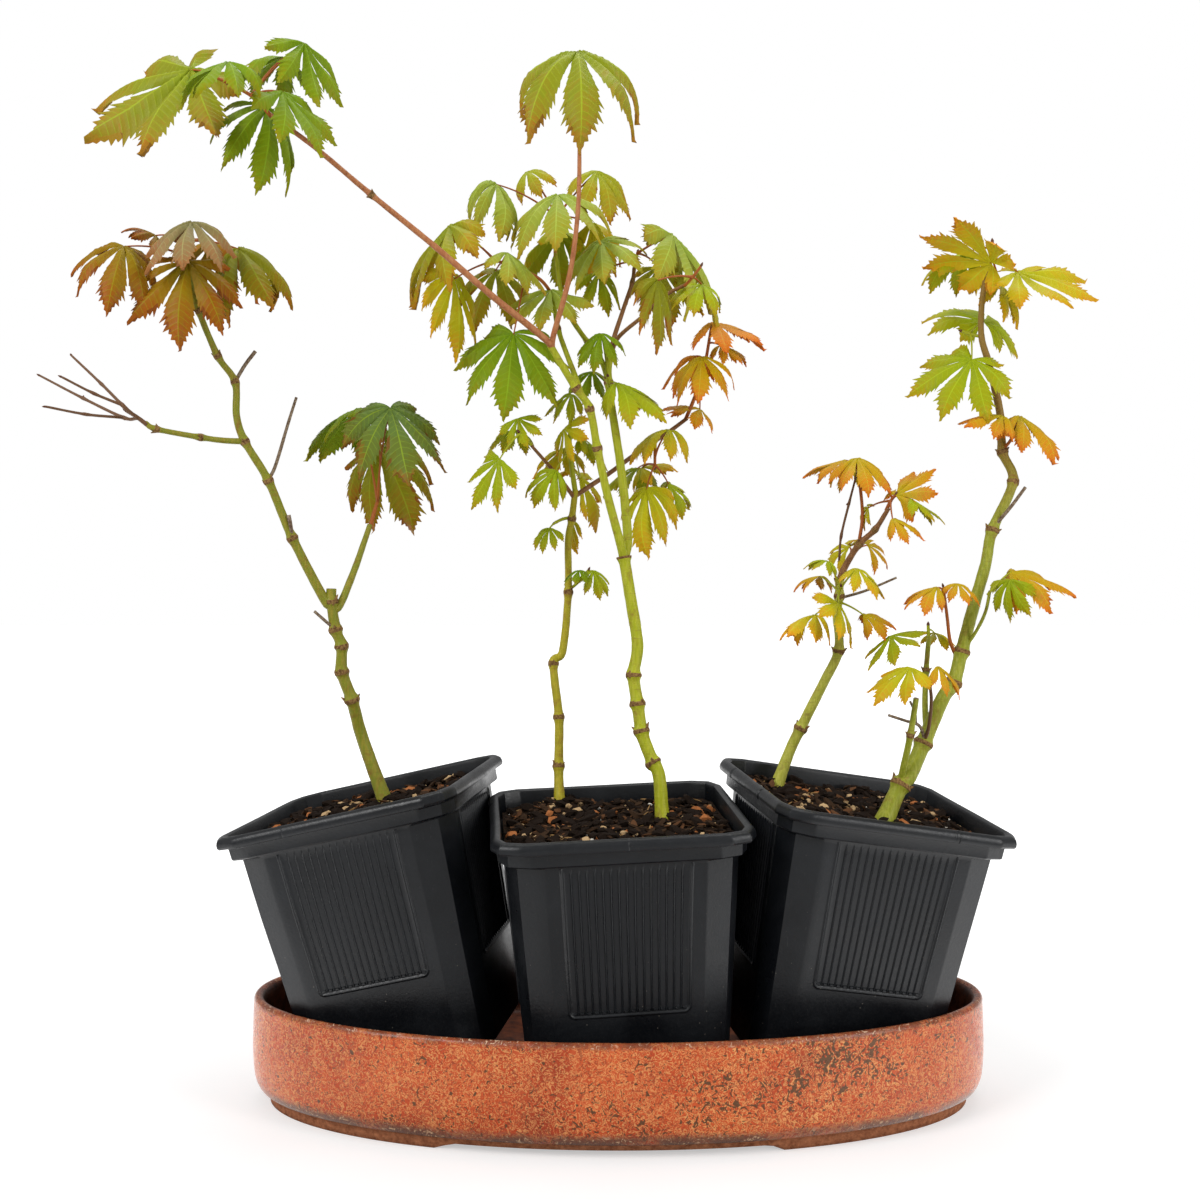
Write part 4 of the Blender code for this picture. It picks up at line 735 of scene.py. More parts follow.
# Masses of leaves, and the bare twigs: each leaf is x, y, z, heading, hang, length, curl, roll, sag
MASSES = {
    "left_top_leaves": Mass(
        "copper copper copper dusty olive copper", "red_stalk", (1.3, 0.9), [(-221, -21, 427),
        (-222, -20, 438), (-222, -14, 448)],
        [(-217, -34, 432, 266, 52, 51, 0.59, -9, 0.8), (-248, -38, 439, 276, 34, 45, 1.13, -16),
        (-242, -5, 452, 266, -1, 21, 0.68, -40, 1.3), (-215, -34, 452, 271, 29, 42, 0.68, 1, 1.1),
        (-199, -6, 445, 301, 24, 54, 0.87, 18, 2.5), (-216, 12, 452, 85, 15, 44, 1)]),
    "left_right_leaves": Mass(
        "dark olive bright", "red_stalk", (1.4, 0.9), [(-136, 32, 300), (-134, 34, 309),
        (-132, 35, 316)],
        [(-123, 20, 365, 297, 52, 50, 0.22, 5), (-135, 58, 347, 304, 38, 61, 1.31, 26, 0.9),
        (-144, 54, 368, 140, 15, 48, 0.8)]),
    "left_bare_twigs": Mass(
        "", "twig", (1.2, 0.9), [(-238, -34, 350), (-243, -36, 354), (-248, -36, 357)],
        twigs=[([(-242, -36, 353), (-248, -41, 359), (-262, -31, 371), (-281, -20, 387)], 0.9, 0.6),
        ([(-248, -41, 359), (-260, -48, 364), (-273, -55, 371)], 0.8, 0.6),
        ([(-242, -36, 353), (-251, -30, 354), (-275, -20, 365), (-301, -10, 378)], 0.9, 0.6),
        ([(-251, -30, 354), (-265, -45, 354), (-279, -60, 356)], 0.8, 0.6)]),
    "slender_left_leaves": Mass(
        "lime lime lime", "lime_stalk", (0.9, 0.8), [(-46, 1, 343), (-49, -2, 346), (-52, -4, 349)],
        [(-53, 0, 357, 288, 57, 19, 0.33, 33, 0.3), (-62, -8, 335, 176, 50, 32, 0.43, -49, 0.3),
        (-55, 10, 352, 110, 10, 24)]),
    "slender_hub_leaves": Mass(
        "yellow lime lime yellow lime yellow", "lime_stalk", (1.5, 0.9), [(-23, 26, 319),
        (-25, 23, 334), (-26, 20, 350), (-25, 21, 364)],
        [(-29, 14, 353, 277, 48, 25, 0.39, 60, 0.3), (-25, 17, 372, 221, 29, 22, 0.81, -16, 1.3),
        (-33, 5, 330, 213, 35, 27, 1.09, -36, 1.3), (-21, 49, 329, 48, 9, 37, 0.71, 60, 1.8),
        (-20, 28, 350, 10, 30, 24), (-30, 34, 344, 120, 20, 28)]),
    "slender_low_leaves": Mass(
        "lime yellow", "lime_stalk", (0.9, 0.8), [(-25, 27, 306), (-30, 27, 305), (-34, 25, 303)],
        [(-37, 21, 300, 234, 45, 17, 0.67, -7, 0.8), (-25, 38, 305, 176, 68, 21, 0.87, -24, 1.1)]),
    "slender_top_leaves": Mass(
        "flame orange orange orange flame", "red_stalk", (1.1, 0.8), [(38, 46, 361), (43, 46, 373),
        (48, 42, 388), (52, 38, 412)],
        [(53, 38, 414, 317, 14, 38, 0.3, 8, 0.8), (46, 30, 394, 261, 41, 36, 0.57, 6, 1.5),
        (58, 48, 403, 314, 16, 21, 0.68, 6, 1.1), (47, 54, 368, 228, -6, 27, 0.6, -26, 0.7),
        (44, 52, 398, 130, 25, 30)]),
    "slender_middle_leaves": Mass(
        "yellow yellow lime yellow lime", "red_stalk", (1.0, 0.8), [(21, 42, 348), (21, 43, 341),
        (21, 44, 335)],
        [(28, 30, 354, 233, 1, 35, 1.21, -1, 1.1), (16, 34, 322, 244, 51, 42, 1.25, 0, 1.5),
        (29, 54, 326, 23, 21, 24, 0.68, 40, 1.2), (14, 64, 336, 310, -8, 25, 0.6, 25, 1.1),
        (12, 67, 336, 120, 15, 30)]),
    "slender_shoot_leaves": Mass(
        "bright lime", "lime_stalk", (0.8, 0.7), [(-27, 30, 266), (-21, 28, 271), (-16, 26, 277)],
        [(-21, 21, 277, 257, 11, 15, 0.66, 2, 1.1), (-13, 26, 277, 303, 53, 18, 0.68, 2)]),
    "tall_long_leaves": Mass(
        "blush bright bright bright bright bright", "red_stalk", (1.0, 0.7), [(-165, -78, 491),
        (-174, -80, 500), (-191, -84, 508)],
        [(-205, -70, 516, 196, 32, 66, 0.15, -40, 0.3), (-150, -74, 527, 318, 65, 36, 0.15, -6, 0.6),
        (-163, -58, 526, 140, 0, 34), (-156, -95, 497, 347, 48, 39, 0.15, 17, 0.3),
        (-171, -62, 500, 298, 46, 52, 1.32, -15, 1.2), (-178, -108, 506, 250, 20, 36, 0.8)]),
    "tall_top_leaf": Mass(
        "blush", "salmon_stalk", (0.9, 0.8), [(-20, -36, 507), (-20, -33, 524), (-21, -28, 538)],
        [(-21, -26, 540, 274, 30, 70, 1.15, 0, 0.8)]),
    "tall_left_leaves": Mass(
        "turning yellow grey grey bright turning", "red_stalk", (1.0, 0.7), [(-35, 16, 425),
        (-42, 8, 432), (-56, 2, 438), (-66, 0, 440)],
        [(-89, 0, 458, 210, 45, 54, 0.62, -2, 0.8), (-86, -4, 430, 321, 72, 45, 0.45, -5, 1.6),
        (-58, -10, 442, 325, 33, 32, 0.63, -1, 0.7), (-36, 12, 427, 258, 32, 36, 0.47, -3, 0.3),
        (-55, -3, 401, 262, 58, 52, 0.5, -4, 0.8), (-66, 24, 440, 120, 20, 44, 0.9)]),
    "tall_crown_leaves": Mass(
        "grey turning grey turning yellow lime", "red_stalk", (1.0, 0.8), [(-34, 28, 448),
        (-34, 28, 460), (-33, 27, 471)],
        [(-65, 14, 484, 299, 41, 44, 0.78, -15, 2.3), (-50, 44, 499, 280, 24, 26, 0.92, 28, 1.3),
        (-32, 6, 476, 269, 28, 51, 0.51, 6, 1.2), (-11, 32, 496, 306, 48, 37, 0.67, 4, 1.1),
        (-14, 44, 470, 40, 30, 36, 0.9), (-32, 59, 468, 95, 20, 44, 0.9)]),
    "tall_side_leaves": Mass(
        "grey grey lime turning", "red_stalk", (0.9, 0.8), [(9, 28, 440), (10, 29, 446), (11, 30, 451)],
        [(-9, 16, 454, 269, 36, 40, 0.5, 20, 0.7), (30, 24, 459, 359, 42, 64, 0.76, 15, 0.6),
        (-10, 36, 441, 300, 50, 28), (24, 58, 448, 65, 25, 42, 0.9)]),
    "tall_low_leaves": Mass(
        "olive lime", "red_stalk", (0.8, 0.7), [(33, -32, 420), (37, -35, 424), (41, -37, 429)],
        [(19, -44, 421, 320, 80, 38, 0.16, -8, 1.4), (42, -28, 422, 256, 26, 26, 0.67, -13, 1.1)]),
    "tall_fork_leaves": Mass(
        "bright lime bright", "lime_stalk", (0.9, 0.8), [(-4.6, 9.6, 374), (-5, 4, 376),
        (-5.5, 0, 379)],
        [(-9, 2, 402, 247, 46, 26, 0.68, -1, 1.1), (-1, 2, 376, 333, 18, 37, 0.69, 11, 1.1),
        (-14, 30, 386, 110, 20, 24, 0.8)]),
    "short_top_leaves": Mass(
        "orange orange yellow", "red_stalk", (1.0, 0.8), [(131, 22, 292), (133, 23, 306),
        (132, 24, 322), (130, 23, 334)],
        [(130, 22, 338, 280, 25, 32, 0.8), (126, 35, 338, 175, 5, 26, 0.6),
        (131, 44, 338, 60, 10, 30, 0.8)],
        twigs=[([(131, 24, 333), (127, 30, 314), (123, 32, 296), (122, 32, 284)], 0.6, 0.7)]),
    "short_tip_leaves": Mass(
        "orange lime yellow orange", "red_stalk", (1.1, 0.8), [(144, 13, 309), (146, 11, 314),
        (148, 9, 317)],
        [(148, 8, 317, 359, -40, 27, 0.15, 33, 1.3), (155, 4, 315, 350, 25, 24, 0.4),
        (136, 22, 311, 131, 23, 15, 0.94, -60, 1.1), (144, -3, 304, 336, 15, 21, 0.69, 16, 1.2)]),
    "short_back_leaves": Mass(
        "yellow orange", "red_stalk", (0.9, 0.8), [(127, 24, 285), (128, 30, 286), (129, 34, 287)],
        [(130, 46, 290, 120, -11, 24, 0.68, -42, 1.1), (138, 36, 291, 39, -7, 24, 0.69, 45, 1.1)]),
    "short_low_leaves": Mass(
        "gold yellow orange lime yellow orange", "lime_stalk", (1.0, 0.7), [(121, 26, 255),
        (119, 19, 258), (118, 12, 262), (119, 8, 268)],
        [(106, 14, 253, 225, 4, 28, 0.57, 0, 2), (117, 3, 259, 276, 30, 28, 0.59, -43, 0.4),
        (132, 14, 253, 358, 0, 22, 0.7, 24, 1.3), (112, 10, 282, 236, -4, 17, 0.68, -17, 1.2),
        (127, 4, 278, 301, 23, 25, 0.61, -10), (110, 21, 274, 120, 0, 20)]),
    "stout_top_leaves": Mass(
        "gold yellow yellow lime", "red_stalk", (1.2, 0.9), [(199, 14, 438), (200, 14, 445),
        (201, 15, 453)],
        [(197, 2, 439, 176, -30, 43, 0.15, 20, 0.3), (212, 6, 435, 340, 13, 45, 0.15, 30, 0.3),
        (209, 28, 433, 277, 27, 32, 0.87, -28, 1.1), (190, 28, 450, 130, 10, 34)]),
    "stout_upper_leaves": Mass(
        "lime lime", "lime_stalk", (0.9, 0.8), [(195, 13, 402), (190, 17, 404), (186, 19, 406)],
        [(201, 32, 413, 91, -36, 47, 0.59, 15, 0.8), (188, 6, 389, 219, 43, 43, 0.37, -30, 0.3)]),
    "stout_middle_leaves": Mass(
        "orange orange", "red_stalk", (0.9, 0.8), [(205, 8, 341), (208, 3, 346), (209, 0, 351)],
        [(202, -3, 358, 210, -3, 25, 0.65, -20), (214, 8, 359, 309, 29, 37, 0.57, -2, 0.7)]),
    "stout_right_leaves": Mass(
        "lime orange", "lime_stalk", (0.8, 0.7), [(190, -19, 264), (193, -21, 268), (196, -22, 271)],
        [(199, -28, 272, 203, 70, 26, 1.06, -17, 0.4), (202, -18, 276, 352, 2, 37, 0.66, 21, 1.1)]),
    "stout_left_leaves": Mass(
        "orange orange", "red_stalk", (1.1, 0.7), [(178, -4, 231), (173, -10, 240), (171, -12, 252),
        (168, -16, 268)],
        [(163, -24, 268, 191, 8, 22, 0.74, -11, 1.2), (175, -18, 270, 282, 23, 18, 0.64, -6, 1.1)]),
    "stout_brown_leaves": Mass(
        "yellow orange", "twig", (1.1, 0.8), [(158, -15, 187), (159, -23, 196), (159, -29, 210),
        (157, -33, 221)],
        [(146, -39, 228, 205, 27, 29, 0.4, -7, 0.3), (161, -34, 228, 330, 30, 22)]),
    "stout_rear_leaves": Mass(
        "lime yellow", "lime_stalk", (1.1, 0.9), [(168, 17, 239), (168, 18, 243), (168, 19, 247)],
        [(146, 10, 242, 259, 24, 27, 0.15, 25, 0.3), (173, 26, 243, 45, 10, 18)]),
}


# Colours of the leaves

class Tint:
    """The colours of one kind of leaf, from its hub to its tips and edges, and its veins."""

    def __init__(self, hub, middle, outer, tip, vein, browning=0.0):
        self.stops = [Vector(color) for color in (hub, middle, outer, tip)]
        self.vein = Vector(vein)
        self.browning = browning
        self.first = 0

    def colors(self):
        """Seven steps from hub to tip, then the vein, the burnt edge and the side veins."""
        steps = []
        for step in range(TINT_STEPS):
            place = 3.0 * step / (TINT_STEPS - 1)
            i = min(2, int(place))
            steps.append(self.stops[i].lerp(self.stops[i + 1], place - i))
        return [*steps, self.vein, self.stops[3] * 0.62, self.stops[1].lerp(self.vein, 0.55)]

    def pick(self, t, edge, on_vein, on_side_vein, point, rng):
        """The index of the material for one face of a blade."""
        if on_vein and t < 0.9:
            return self.first + TINT_STEPS
        if on_side_vein and t < 0.85:
            return self.first + TINT_STEPS + 2
        patch = noise_at(point, 120.0, 5.0)
        value = t * 0.92 + 0.16 * (edge - 0.5) * t + 0.20 * patch + rng.uniform(-0.05, 0.05)
        if self.browning and edge > 0.9 and patch + t > 1.15 - self.browning:
            return self.first + TINT_STEPS + 1
        return self.first + max(0, min(TINT_STEPS - 1, int(value * TINT_STEPS)))


TINTS = {
    "lime": Tint((0.3, 0.39, 0.004), (0.33, 0.39, 0.003), (0.38, 0.37, 0.003), (0.48, 0.31, 0.004),
        (0.4, 0.5, 0.014)),
    "yellow": Tint((0.45, 0.45, 0.004), (0.5, 0.44, 0.004), (0.58, 0.39, 0.005), (0.65, 0.32, 0.006),
        (0.54, 0.54, 0.017)),
    "bright": Tint((0.172, 0.299, 0.002), (0.196, 0.299, 0.002), (0.23, 0.3, 0.002),
        (0.31, 0.28, 0.003), (0.26, 0.41, 0.011)),
    "grey": Tint((0.31, 0.41, 0.04), (0.34, 0.4, 0.036), (0.39, 0.37, 0.026), (0.46, 0.32, 0.016),
        (0.43, 0.54, 0.065), 0.1),
    "dark": Tint((0.126, 0.204, 0.036), (0.132, 0.198, 0.031), (0.15, 0.174, 0.017), (0.29, 0.13, 0.01),
        (0.24, 0.34, 0.024), 0.25),
    "olive": Tint((0.23, 0.24, 0.004), (0.25, 0.24, 0.004), (0.3, 0.2, 0.004), (0.41, 0.14, 0.005),
        (0.3, 0.32, 0.01), 0.25),
    "turning": Tint((0.33, 0.38, 0.01), (0.38, 0.37, 0.009), (0.45, 0.32, 0.008), (0.53, 0.23, 0.008),
        (0.46, 0.48, 0.03), 0.22),
    "blush": Tint((0.25, 0.31, 0.007), (0.28, 0.3, 0.009), (0.34, 0.26, 0.013), (0.44, 0.2, 0.014),
        (0.36, 0.43, 0.018), 0.16),
    "gold": Tint((0.62, 0.56, 0.008), (0.7, 0.54, 0.01), (0.76, 0.45, 0.012), (0.82, 0.33, 0.012),
        (0.66, 0.66, 0.028), 0.08),
    "dusty": Tint((0.28, 0.25, 0.09), (0.31, 0.23, 0.09), (0.36, 0.19, 0.07), (0.4, 0.16, 0.045),
        (0.4, 0.36, 0.13), 0.1),
    "copper": Tint((0.28, 0.19, 0.002), (0.3, 0.16, 0.002), (0.33, 0.11, 0.003), (0.38, 0.1, 0.005),
        (0.32, 0.23, 0.006), 0.3),
    "orange": Tint((0.48, 0.37, 0.004), (0.56, 0.33, 0.004), (0.64, 0.26, 0.007), (0.71, 0.18, 0.01),
        (0.6, 0.42, 0.021), 0.15),
    "flame": Tint((0.62, 0.29, 0.014), (0.66, 0.26, 0.012), (0.68, 0.21, 0.012), (0.68, 0.15, 0.01),
        (0.68, 0.34, 0.035), 0.05),
}
STALKS = {
    "red_stalk": (0.38, 0.105, 0.018),
    "lime_stalk": (0.38, 0.40, 0.015),
    "salmon_stalk": (0.48, 0.17, 0.055),
    "twig": (0.17, 0.085, 0.04),
    "bud": (0.13, 0.05, 0.025),
}
LEAF_SLOTS = {"left": "copper_leaf", "slender": "green_leaf", "tall": "green_leaf",
              "short": "orange_leaf", "stout": "green_leaf"}


def leaf_materials():
    """Every leaf and stalk colour as its own material; sets where each tint's steps start."""
    materials = []
    for name, tint in TINTS.items():
        tint.first = len(materials)
        for number, color in enumerate(tint.colors()):
            materials.append(plain_finish(f"{name}_{number}", color, 0.50, 900.0, 0.00010, 0.16))
    places = {name: len(materials) + number for number, name in enumerate(STALKS)}
    for name, color in STALKS.items():
        materials.append(plain_finish(name, color, 0.45, 2500.0, 0.00006))
    return materials, places


def grow_leaves():
    """One piece of leaves for each tree."""
    materials, places = leaf_materials()
    for tree, slot in LEAF_SLOTS.items():
        names = [name for name in MASSES if name.startswith(tree)]
        surface = Surface()
        for name in names:
            MASSES[name].grow(name, surface, places)
        surface.piece(f"{tree}_foliage", materials, slot, *names)


# Bark

BARKS = {
    # stem green, lighter stripes, brown of its rings and stains, height where it turns brown
    "left": ((0.225, 0.245, 0.018), (0.33, 0.27, 0.030), (0.24, 0.105, 0.022), 9.0),
    "slender": ((0.40, 0.35, 0.016), (0.52, 0.42, 0.030), (0.32, 0.17, 0.028), 9.0),
    "tall": ((0.37, 0.40, 0.012), (0.48, 0.48, 0.035), (0.28, 0.17, 0.025), 9.0),
    "short": ((0.43, 0.44, 0.050), (0.56, 0.54, 0.090), (0.27, 0.17, 0.045), 9.0),
    "stout": ((0.28, 0.31, 0.022), (0.40, 0.41, 0.050), (0.25, 0.13, 0.030), 0.30),
    "brown": ((0.22, 0.095, 0.032), (0.30, 0.145, 0.055), (0.11, 0.048, 0.018), 9.0),
    "salmon": ((0.44, 0.155, 0.060), (0.54, 0.24, 0.095), (0.25, 0.088, 0.034), 9.0),
}


def bark_finish(name, green, light, brown, turns_at):
    """Young bark: a green skin with light stripes along it, brown rings, dots and stains."""
    shade = Shade(f"{name}_bark", green, 0.45, 0.22)
    stripes = shade.noise(1.0, stretch=(900.0, 900.0, 120.0))
    stains = shade.noise(150.0, 5.0, 0.65, 0.6)
    rings = shade.noise(1.0, 3.0, 0.6, stretch=(90.0, 90.0, 1200.0))
    shade.paint(shade.ramp(stripes, (0.42, 0.0), (0.62, 0.8)), light)
    shade.paint(shade.ramp(stains, (0.54, 0.0), (0.72, 0.80)), brown)
    shade.paint(shade.ramp(rings, (0.62, 0.0), (0.70, 0.6)), brown)
    above = shade.math("MULTIPLY", shade.math("SUBTRACT", shade.axis("Z"), turns_at), 20.0, clamp=True)
    shade.paint(shade.times(above, 0.88), [1.1 * channel for channel in brown])
    pale = [min(1.0, 1.25 * channel + 0.05) for channel in light]
    shade.paint(shade.ramp(shade.cells(620.0), (0.08, 0.6), (0.13, 0.0)), pale)
    shade.feed("Roughness", shade.ramp(stains, (0.4, 0.38), (0.7, 0.62)))
    shade.bump(stripes, 0.00015)
    shade.bump(rings, 0.00025)
    return shade.material


def grow_limbs():
    """The limbs of each tree, joined by kind of bark, with rough brown scars and grey cut ends."""
    scar = mottled_finish("scar", (0.16, 0.085, 0.040), 0.8, 0.15, (900.0, 4.0),
                          ((0.35, (0.11, 0.050, 0.018)), (0.65, (0.34, 0.20, 0.070))), 0.00030)
    cut = mottled_finish("cut_end", (0.20, 0.13, 0.08), 0.85, 0.5, (700.0, 4.0),
                         ((0.35, (0.11, 0.060, 0.032)), (0.70, (0.38, 0.29, 0.19))), 0.00025)
    barks = {name: bark_finish(name, *colors) for name, colors in BARKS.items()}
    groups = {}
    for name, limb in LIMBS.items():
        groups.setdefault((name.split("_")[0], limb.bark), []).append(name)
    for (tree, bark), names in groups.items():
        surface = Surface()
        for name in names:
            LIMBS[name].grow(name, surface)
        surface.piece(f"{tree}_{bark}_limbs" if bark else f"{tree}_limbs",
                      [barks[bark or tree], scar, cut], "brown_bark" if bark else "green_bark", *names)


# Pots

def plastic_finish():
    """Worn satin black plastic, scuffed and dusty, more so towards the foot."""
    shade = Shade("plastic", (0.024, 0.025, 0.028), 0.40, 0.42)
    low = shade.ramp(shade.times(shade.axis("Z"), 10.0), (0.55, 1.0), (1.05, 0.12))
    cloud = shade.noise(28.0, 5.0, 0.65, 0.5)
    grain = shade.noise(700.0, 2.0)
    scratches = shade.noise(1.0, 2.0, stretch=(1400.0, 60.0, 260.0))
    scrapes = shade.ramp(shade.noise(260.0, 1.0, 0.5, 3.0), (0.488, 0.0), (0.500, 0.16), (0.512, 0.0))
    specks = shade.ramp(shade.cells(210.0), (0.035, 1.0), (0.065, 0.0))
    shade.feed("Base Color", shade.ramp(cloud, (0.42, (0.0034, 0.0042, 0.0058)),
                                        (0.72, (0.0086, 0.0102, 0.0128))))
    shade.paint(shade.ramp(scratches, (0.67, 0.0), (0.75, 0.30)), (0.04, 0.04, 0.04))
    shade.paint(shade.times(low, scrapes), (0.10, 0.095, 0.085))
    shade.paint(shade.times(low, specks), (0.20, 0.18, 0.15))
    shade.feed("Roughness", shade.plus(shade.ramp(cloud, (0.35, 0.26), (0.7, 0.42)),
                                       shade.ramp(grain, (0.3, 0.0), (0.7, 0.09))))
    shade.bump(shade.noise(2600.0, 2.0), 0.00004)
    shade.bump(grain, 0.00008)
    return shade.material


def square_point(half, corner, quarter, place):
    """A point on a square with two-faceted corners: place runs 0 to 1 along the flat of a side,
    then 1 to 2 round the corner after it."""
    flat = half - corner
    if place <= 1.0:
        x, y = half, flat * (2 * place - 1)
    else:
        facet = 2 * (place - 1.0)
        i = min(1, int(facet))
        share = facet - i
        angles = (i * math.pi / 4, (i + 1) * math.pi / 4)
        near, far = [(flat + corner * math.cos(a), flat + corner * math.sin(a)) for a in angles]
        x = near[0] * (1 - share) + far[0] * share
        y = near[1] * (1 - share) + far[1] * share
    turn = math.radians(90 * quarter)
    return (x * math.cos(turn) - y * math.sin(turn), x * math.sin(turn) + y * math.cos(turn))


def panel_width(height):
    """The share of its middle width that a panel has at a height below the rim."""
    share = (height - PANEL_BOTTOM) / (PANEL_TOP - PANEL_BOTTOM)
    return 1.0 + PANEL_TAPER * (2.0 * min(1.0, max(0.0, share)) - 1.0)


def panel_relief(across, height):
    """How far a side of a pot stands out at a point of it: its narrow ribs, the short bars that
    end its grooves, and its raised outline."""
    border = 2 * PANEL_OUTLINE
    dx = PANEL_HALF_WIDTH - abs(across)
    dy = height - PANEL_BOTTOM
    if dx < 0.0 or dy < 0.0 or height > PANEL_TOP:
        return 0.0
    inward = min(dx, dy)
    if dx < PANEL_CORNER and dy < PANEL_CORNER:
        inward = PANEL_CORNER - math.hypot(PANEL_CORNER - dx, PANEL_CORNER - dy)
    if inward < 0.0:
        return 0.0
    if inward < border:
        return OUTLINE_HEIGHT * math.sin(math.pi * inward / border)
    inner = PANEL_HALF_WIDTH - border
    phase = (across + inner) / (2 * inner) * RIBS % 1.0
    away = min(phase, 1.0 - phase)
    if away > 0.22 and 0.0020 < dy < 0.0031:
        return 0.0003
    rib = max(0.0, 1.0 - away / RIB_SHARE) ** 0.6
    fade = min(1.0, (inward - border) / 0.0012, (PANEL_TOP - height) / 0.002)
    return RIB_HEIGHT * (rib - 0.5) * max(0.0, fade)


def pot_rows():
    """Heights below the rim with half-width and corner there, from the base up and back inside."""
    base, top = -POT_HEIGHT, -COLLAR_HEIGHT - 0.0010
    heights = [base + 0.0015 + step * 0.006 for step in range(6)]
    heights += [PANEL_BOTTOM - 0.0006 + step * 0.00040 for step in range(16)]
    heights += [PANEL_BOTTOM + 0.0075 + step * 0.0125 for step in range(5)]
    heights += [PANEL_TOP - 0.0040, PANEL_TOP - 0.0020, PANEL_TOP - 0.0004, top]
    body = []
    for height in sorted(heights):
        share = (height - base) / (top - base)
        half = POT_HALF_BASE + (POT_HALF_BODY - POT_HALF_BASE) * share
        body.append((height, half, 0.0150 + 0.0035 * share))
    lip, collar, rim, side = -LIP_HEIGHT, -COLLAR_HEIGHT, POT_HALF_RIM, POT_HALF_COLLAR
    inside = POT_HALF_BODY - POT_WALL
    return [
        (base, POT_HALF_BASE - 0.0030, 0.0135), (base, POT_HALF_BASE - 0.0012, 0.0140), *body,
        (collar, POT_HALF_BODY + 0.0006, 0.0165), (collar + 0.0002, side - 0.0006, 0.0150),
        (collar + 0.0009, side, 0.0148), (lip - 0.0008, side + 0.0002, 0.0146),
        (lip - 0.0002, side + 0.0006, 0.0145), (lip, rim - 0.0016, 0.0140),
        (lip + 0.0004, rim - 0.0005, 0.0138), (lip + 0.0014, rim, 0.0136), (-0.0030, rim, 0.0136),
        (-0.0016, rim - 0.0004, 0.0135), (-0.0006, rim - 0.0013, 0.0133),
        (0.0, rim - 0.0026, 0.0130), (-0.0001, rim - 0.0038, 0.0126),
        (-0.0008, side - POT_WALL + 0.0004, 0.0120), (-0.0020, side - POT_WALL, 0.0118),
        (collar + 0.0002, side - POT_WALL - 0.0003, 0.0125), (collar - 0.0012, inside, 0.0160),
        (-0.0300, inside - 0.0012, 0.0160),
    ]


def side_places():
    """Where the columns of a side stand: metres across its panel, shares of the way from there to
    the corner, places round the corner, and shares of the way on to the next side's panel."""
    inner = PANEL_HALF_WIDTH - 2 * PANEL_OUTLINE
    steps = (0.0, 0.08, RIB_SHARE, 0.30, 0.70, 1.0 - RIB_SHARE, 0.92)
    phases = [rib + step for rib in range(RIBS) for step in steps] + [RIBS]
    edge = [inner + PANEL_OUTLINE * step for step in (0.5, 1.0, 1.5, 2.0)]
    panel = [-value for value in reversed(edge)]
    panel += [-inner + 2 * inner * phase / RIBS for phase in phases] + edge
    corner = (0.0, 0.03, 0.25, 0.47, 0.50, 0.53, 0.75, 0.97)
    return [*[("panel", value) for value in panel], ("after", 0.5), ("after", 0.93),
            *[("corner", value) for value in corner], ("before", 0.93), ("before", 0.5)]


def pot_ring(height, half, corner, places, nicks):
    """One level of a pot, with its panels' relief and the nicks in its lip."""
    ring = []
    flat = half - corner
    wide = panel_width(height)
    edge = PANEL_HALF_WIDTH * wide
    on_body = height > -POT_HEIGHT + 0.001 and half < POT_HALF_BODY + 0.0001
    on_lip = half > POT_HALF_RIM - 0.002 and -LIP_HEIGHT <= height < -0.0004
    for quarter in range(4):
        for kind, value in places:
            if kind == "corner":
                ring.append(Vector((*square_point(half, corner, quarter, 1.0 + value), height)))
                continue
            side = (quarter + 1) % 4 if kind == "before" else quarter
            across = value * wide if kind == "panel" else edge + (flat - edge) * value
            if kind == "before":
                across = -across
            x, y = square_point(half, corner, side, (across / flat + 1) / 2)
            relief = panel_relief(across / wide, height) if on_body else 0.0
            if on_lip:
                relief -= sum(NICK_DEPTH * depth for where, at, depth in nicks
                              if where == side and abs(across - at) < NICK_HALF_WIDTH)
            turn = math.radians(90 * side)
            ring.append(Vector((x + math.cos(turn) * relief, y + math.sin(turn) * relief, height)))
    return ring


def build_pot(name, pot, finish):
    """A square pot: lip, collar and faceted corners, and a ribbed panel on each of its sides."""
    rng = random.Random(f"{SEED} pot {pot}")
    nicks = [(rng.randrange(4), rng.uniform(-0.05, 0.05), rng.uniform(0.4, 1.0)) for _ in range(NICKS)]
    seat = seat_matrix(pot)
    places = side_places()
    rings = []
    for height, half, corner in pot_rows():
        ring = []
        for point in pot_ring(height, half, corner, places, nicks):
            wave = 0.0005 * noise_at(point, 22.0, 2.0 + len(pot)) if height > -0.09 else 0.0
            ring.append(seat @ (point + Vector((wave, wave, 0.0))))
        rings.append(ring)
    surface = Surface()
    surface.add_rings(rings, cap_end=False)
    item = surface.piece(f"{name}_shell", [finish], "plastic", name)
    item.data.set_sharp_from_angle(angle=math.radians(SHARP_ANGLE))


# Soil

CHIPS = (
    # name, colour, share, smallest and largest length, how long and how thick for its width
    ("peat", (0.015, 0.009, 0.006), 0.40, 0.0020, 0.0105, 1.4, 0.65),
    ("humus", (0.048, 0.026, 0.014), 0.28, 0.0015, 0.0090, 1.7, 0.5),
    ("bark_chip", (0.12, 0.054, 0.024), 0.13, 0.0020, 0.0095, 2.0, 0.35),
    ("straw", (0.34, 0.20, 0.08), 0.05, 0.0025, 0.0085, 6.0, 0.8),
    ("clay_lump", (0.42, 0.15, 0.05), 0.035, 0.0018, 0.0082, 1.2, 0.8),
    ("sand_lump", (0.56, 0.38, 0.20), 0.065, 0.0014, 0.0070, 1.3, 0.8),
    ("pumice", (0.74, 0.70, 0.62), 0.02, 0.0010, 0.0042, 1.2, 0.8),
)


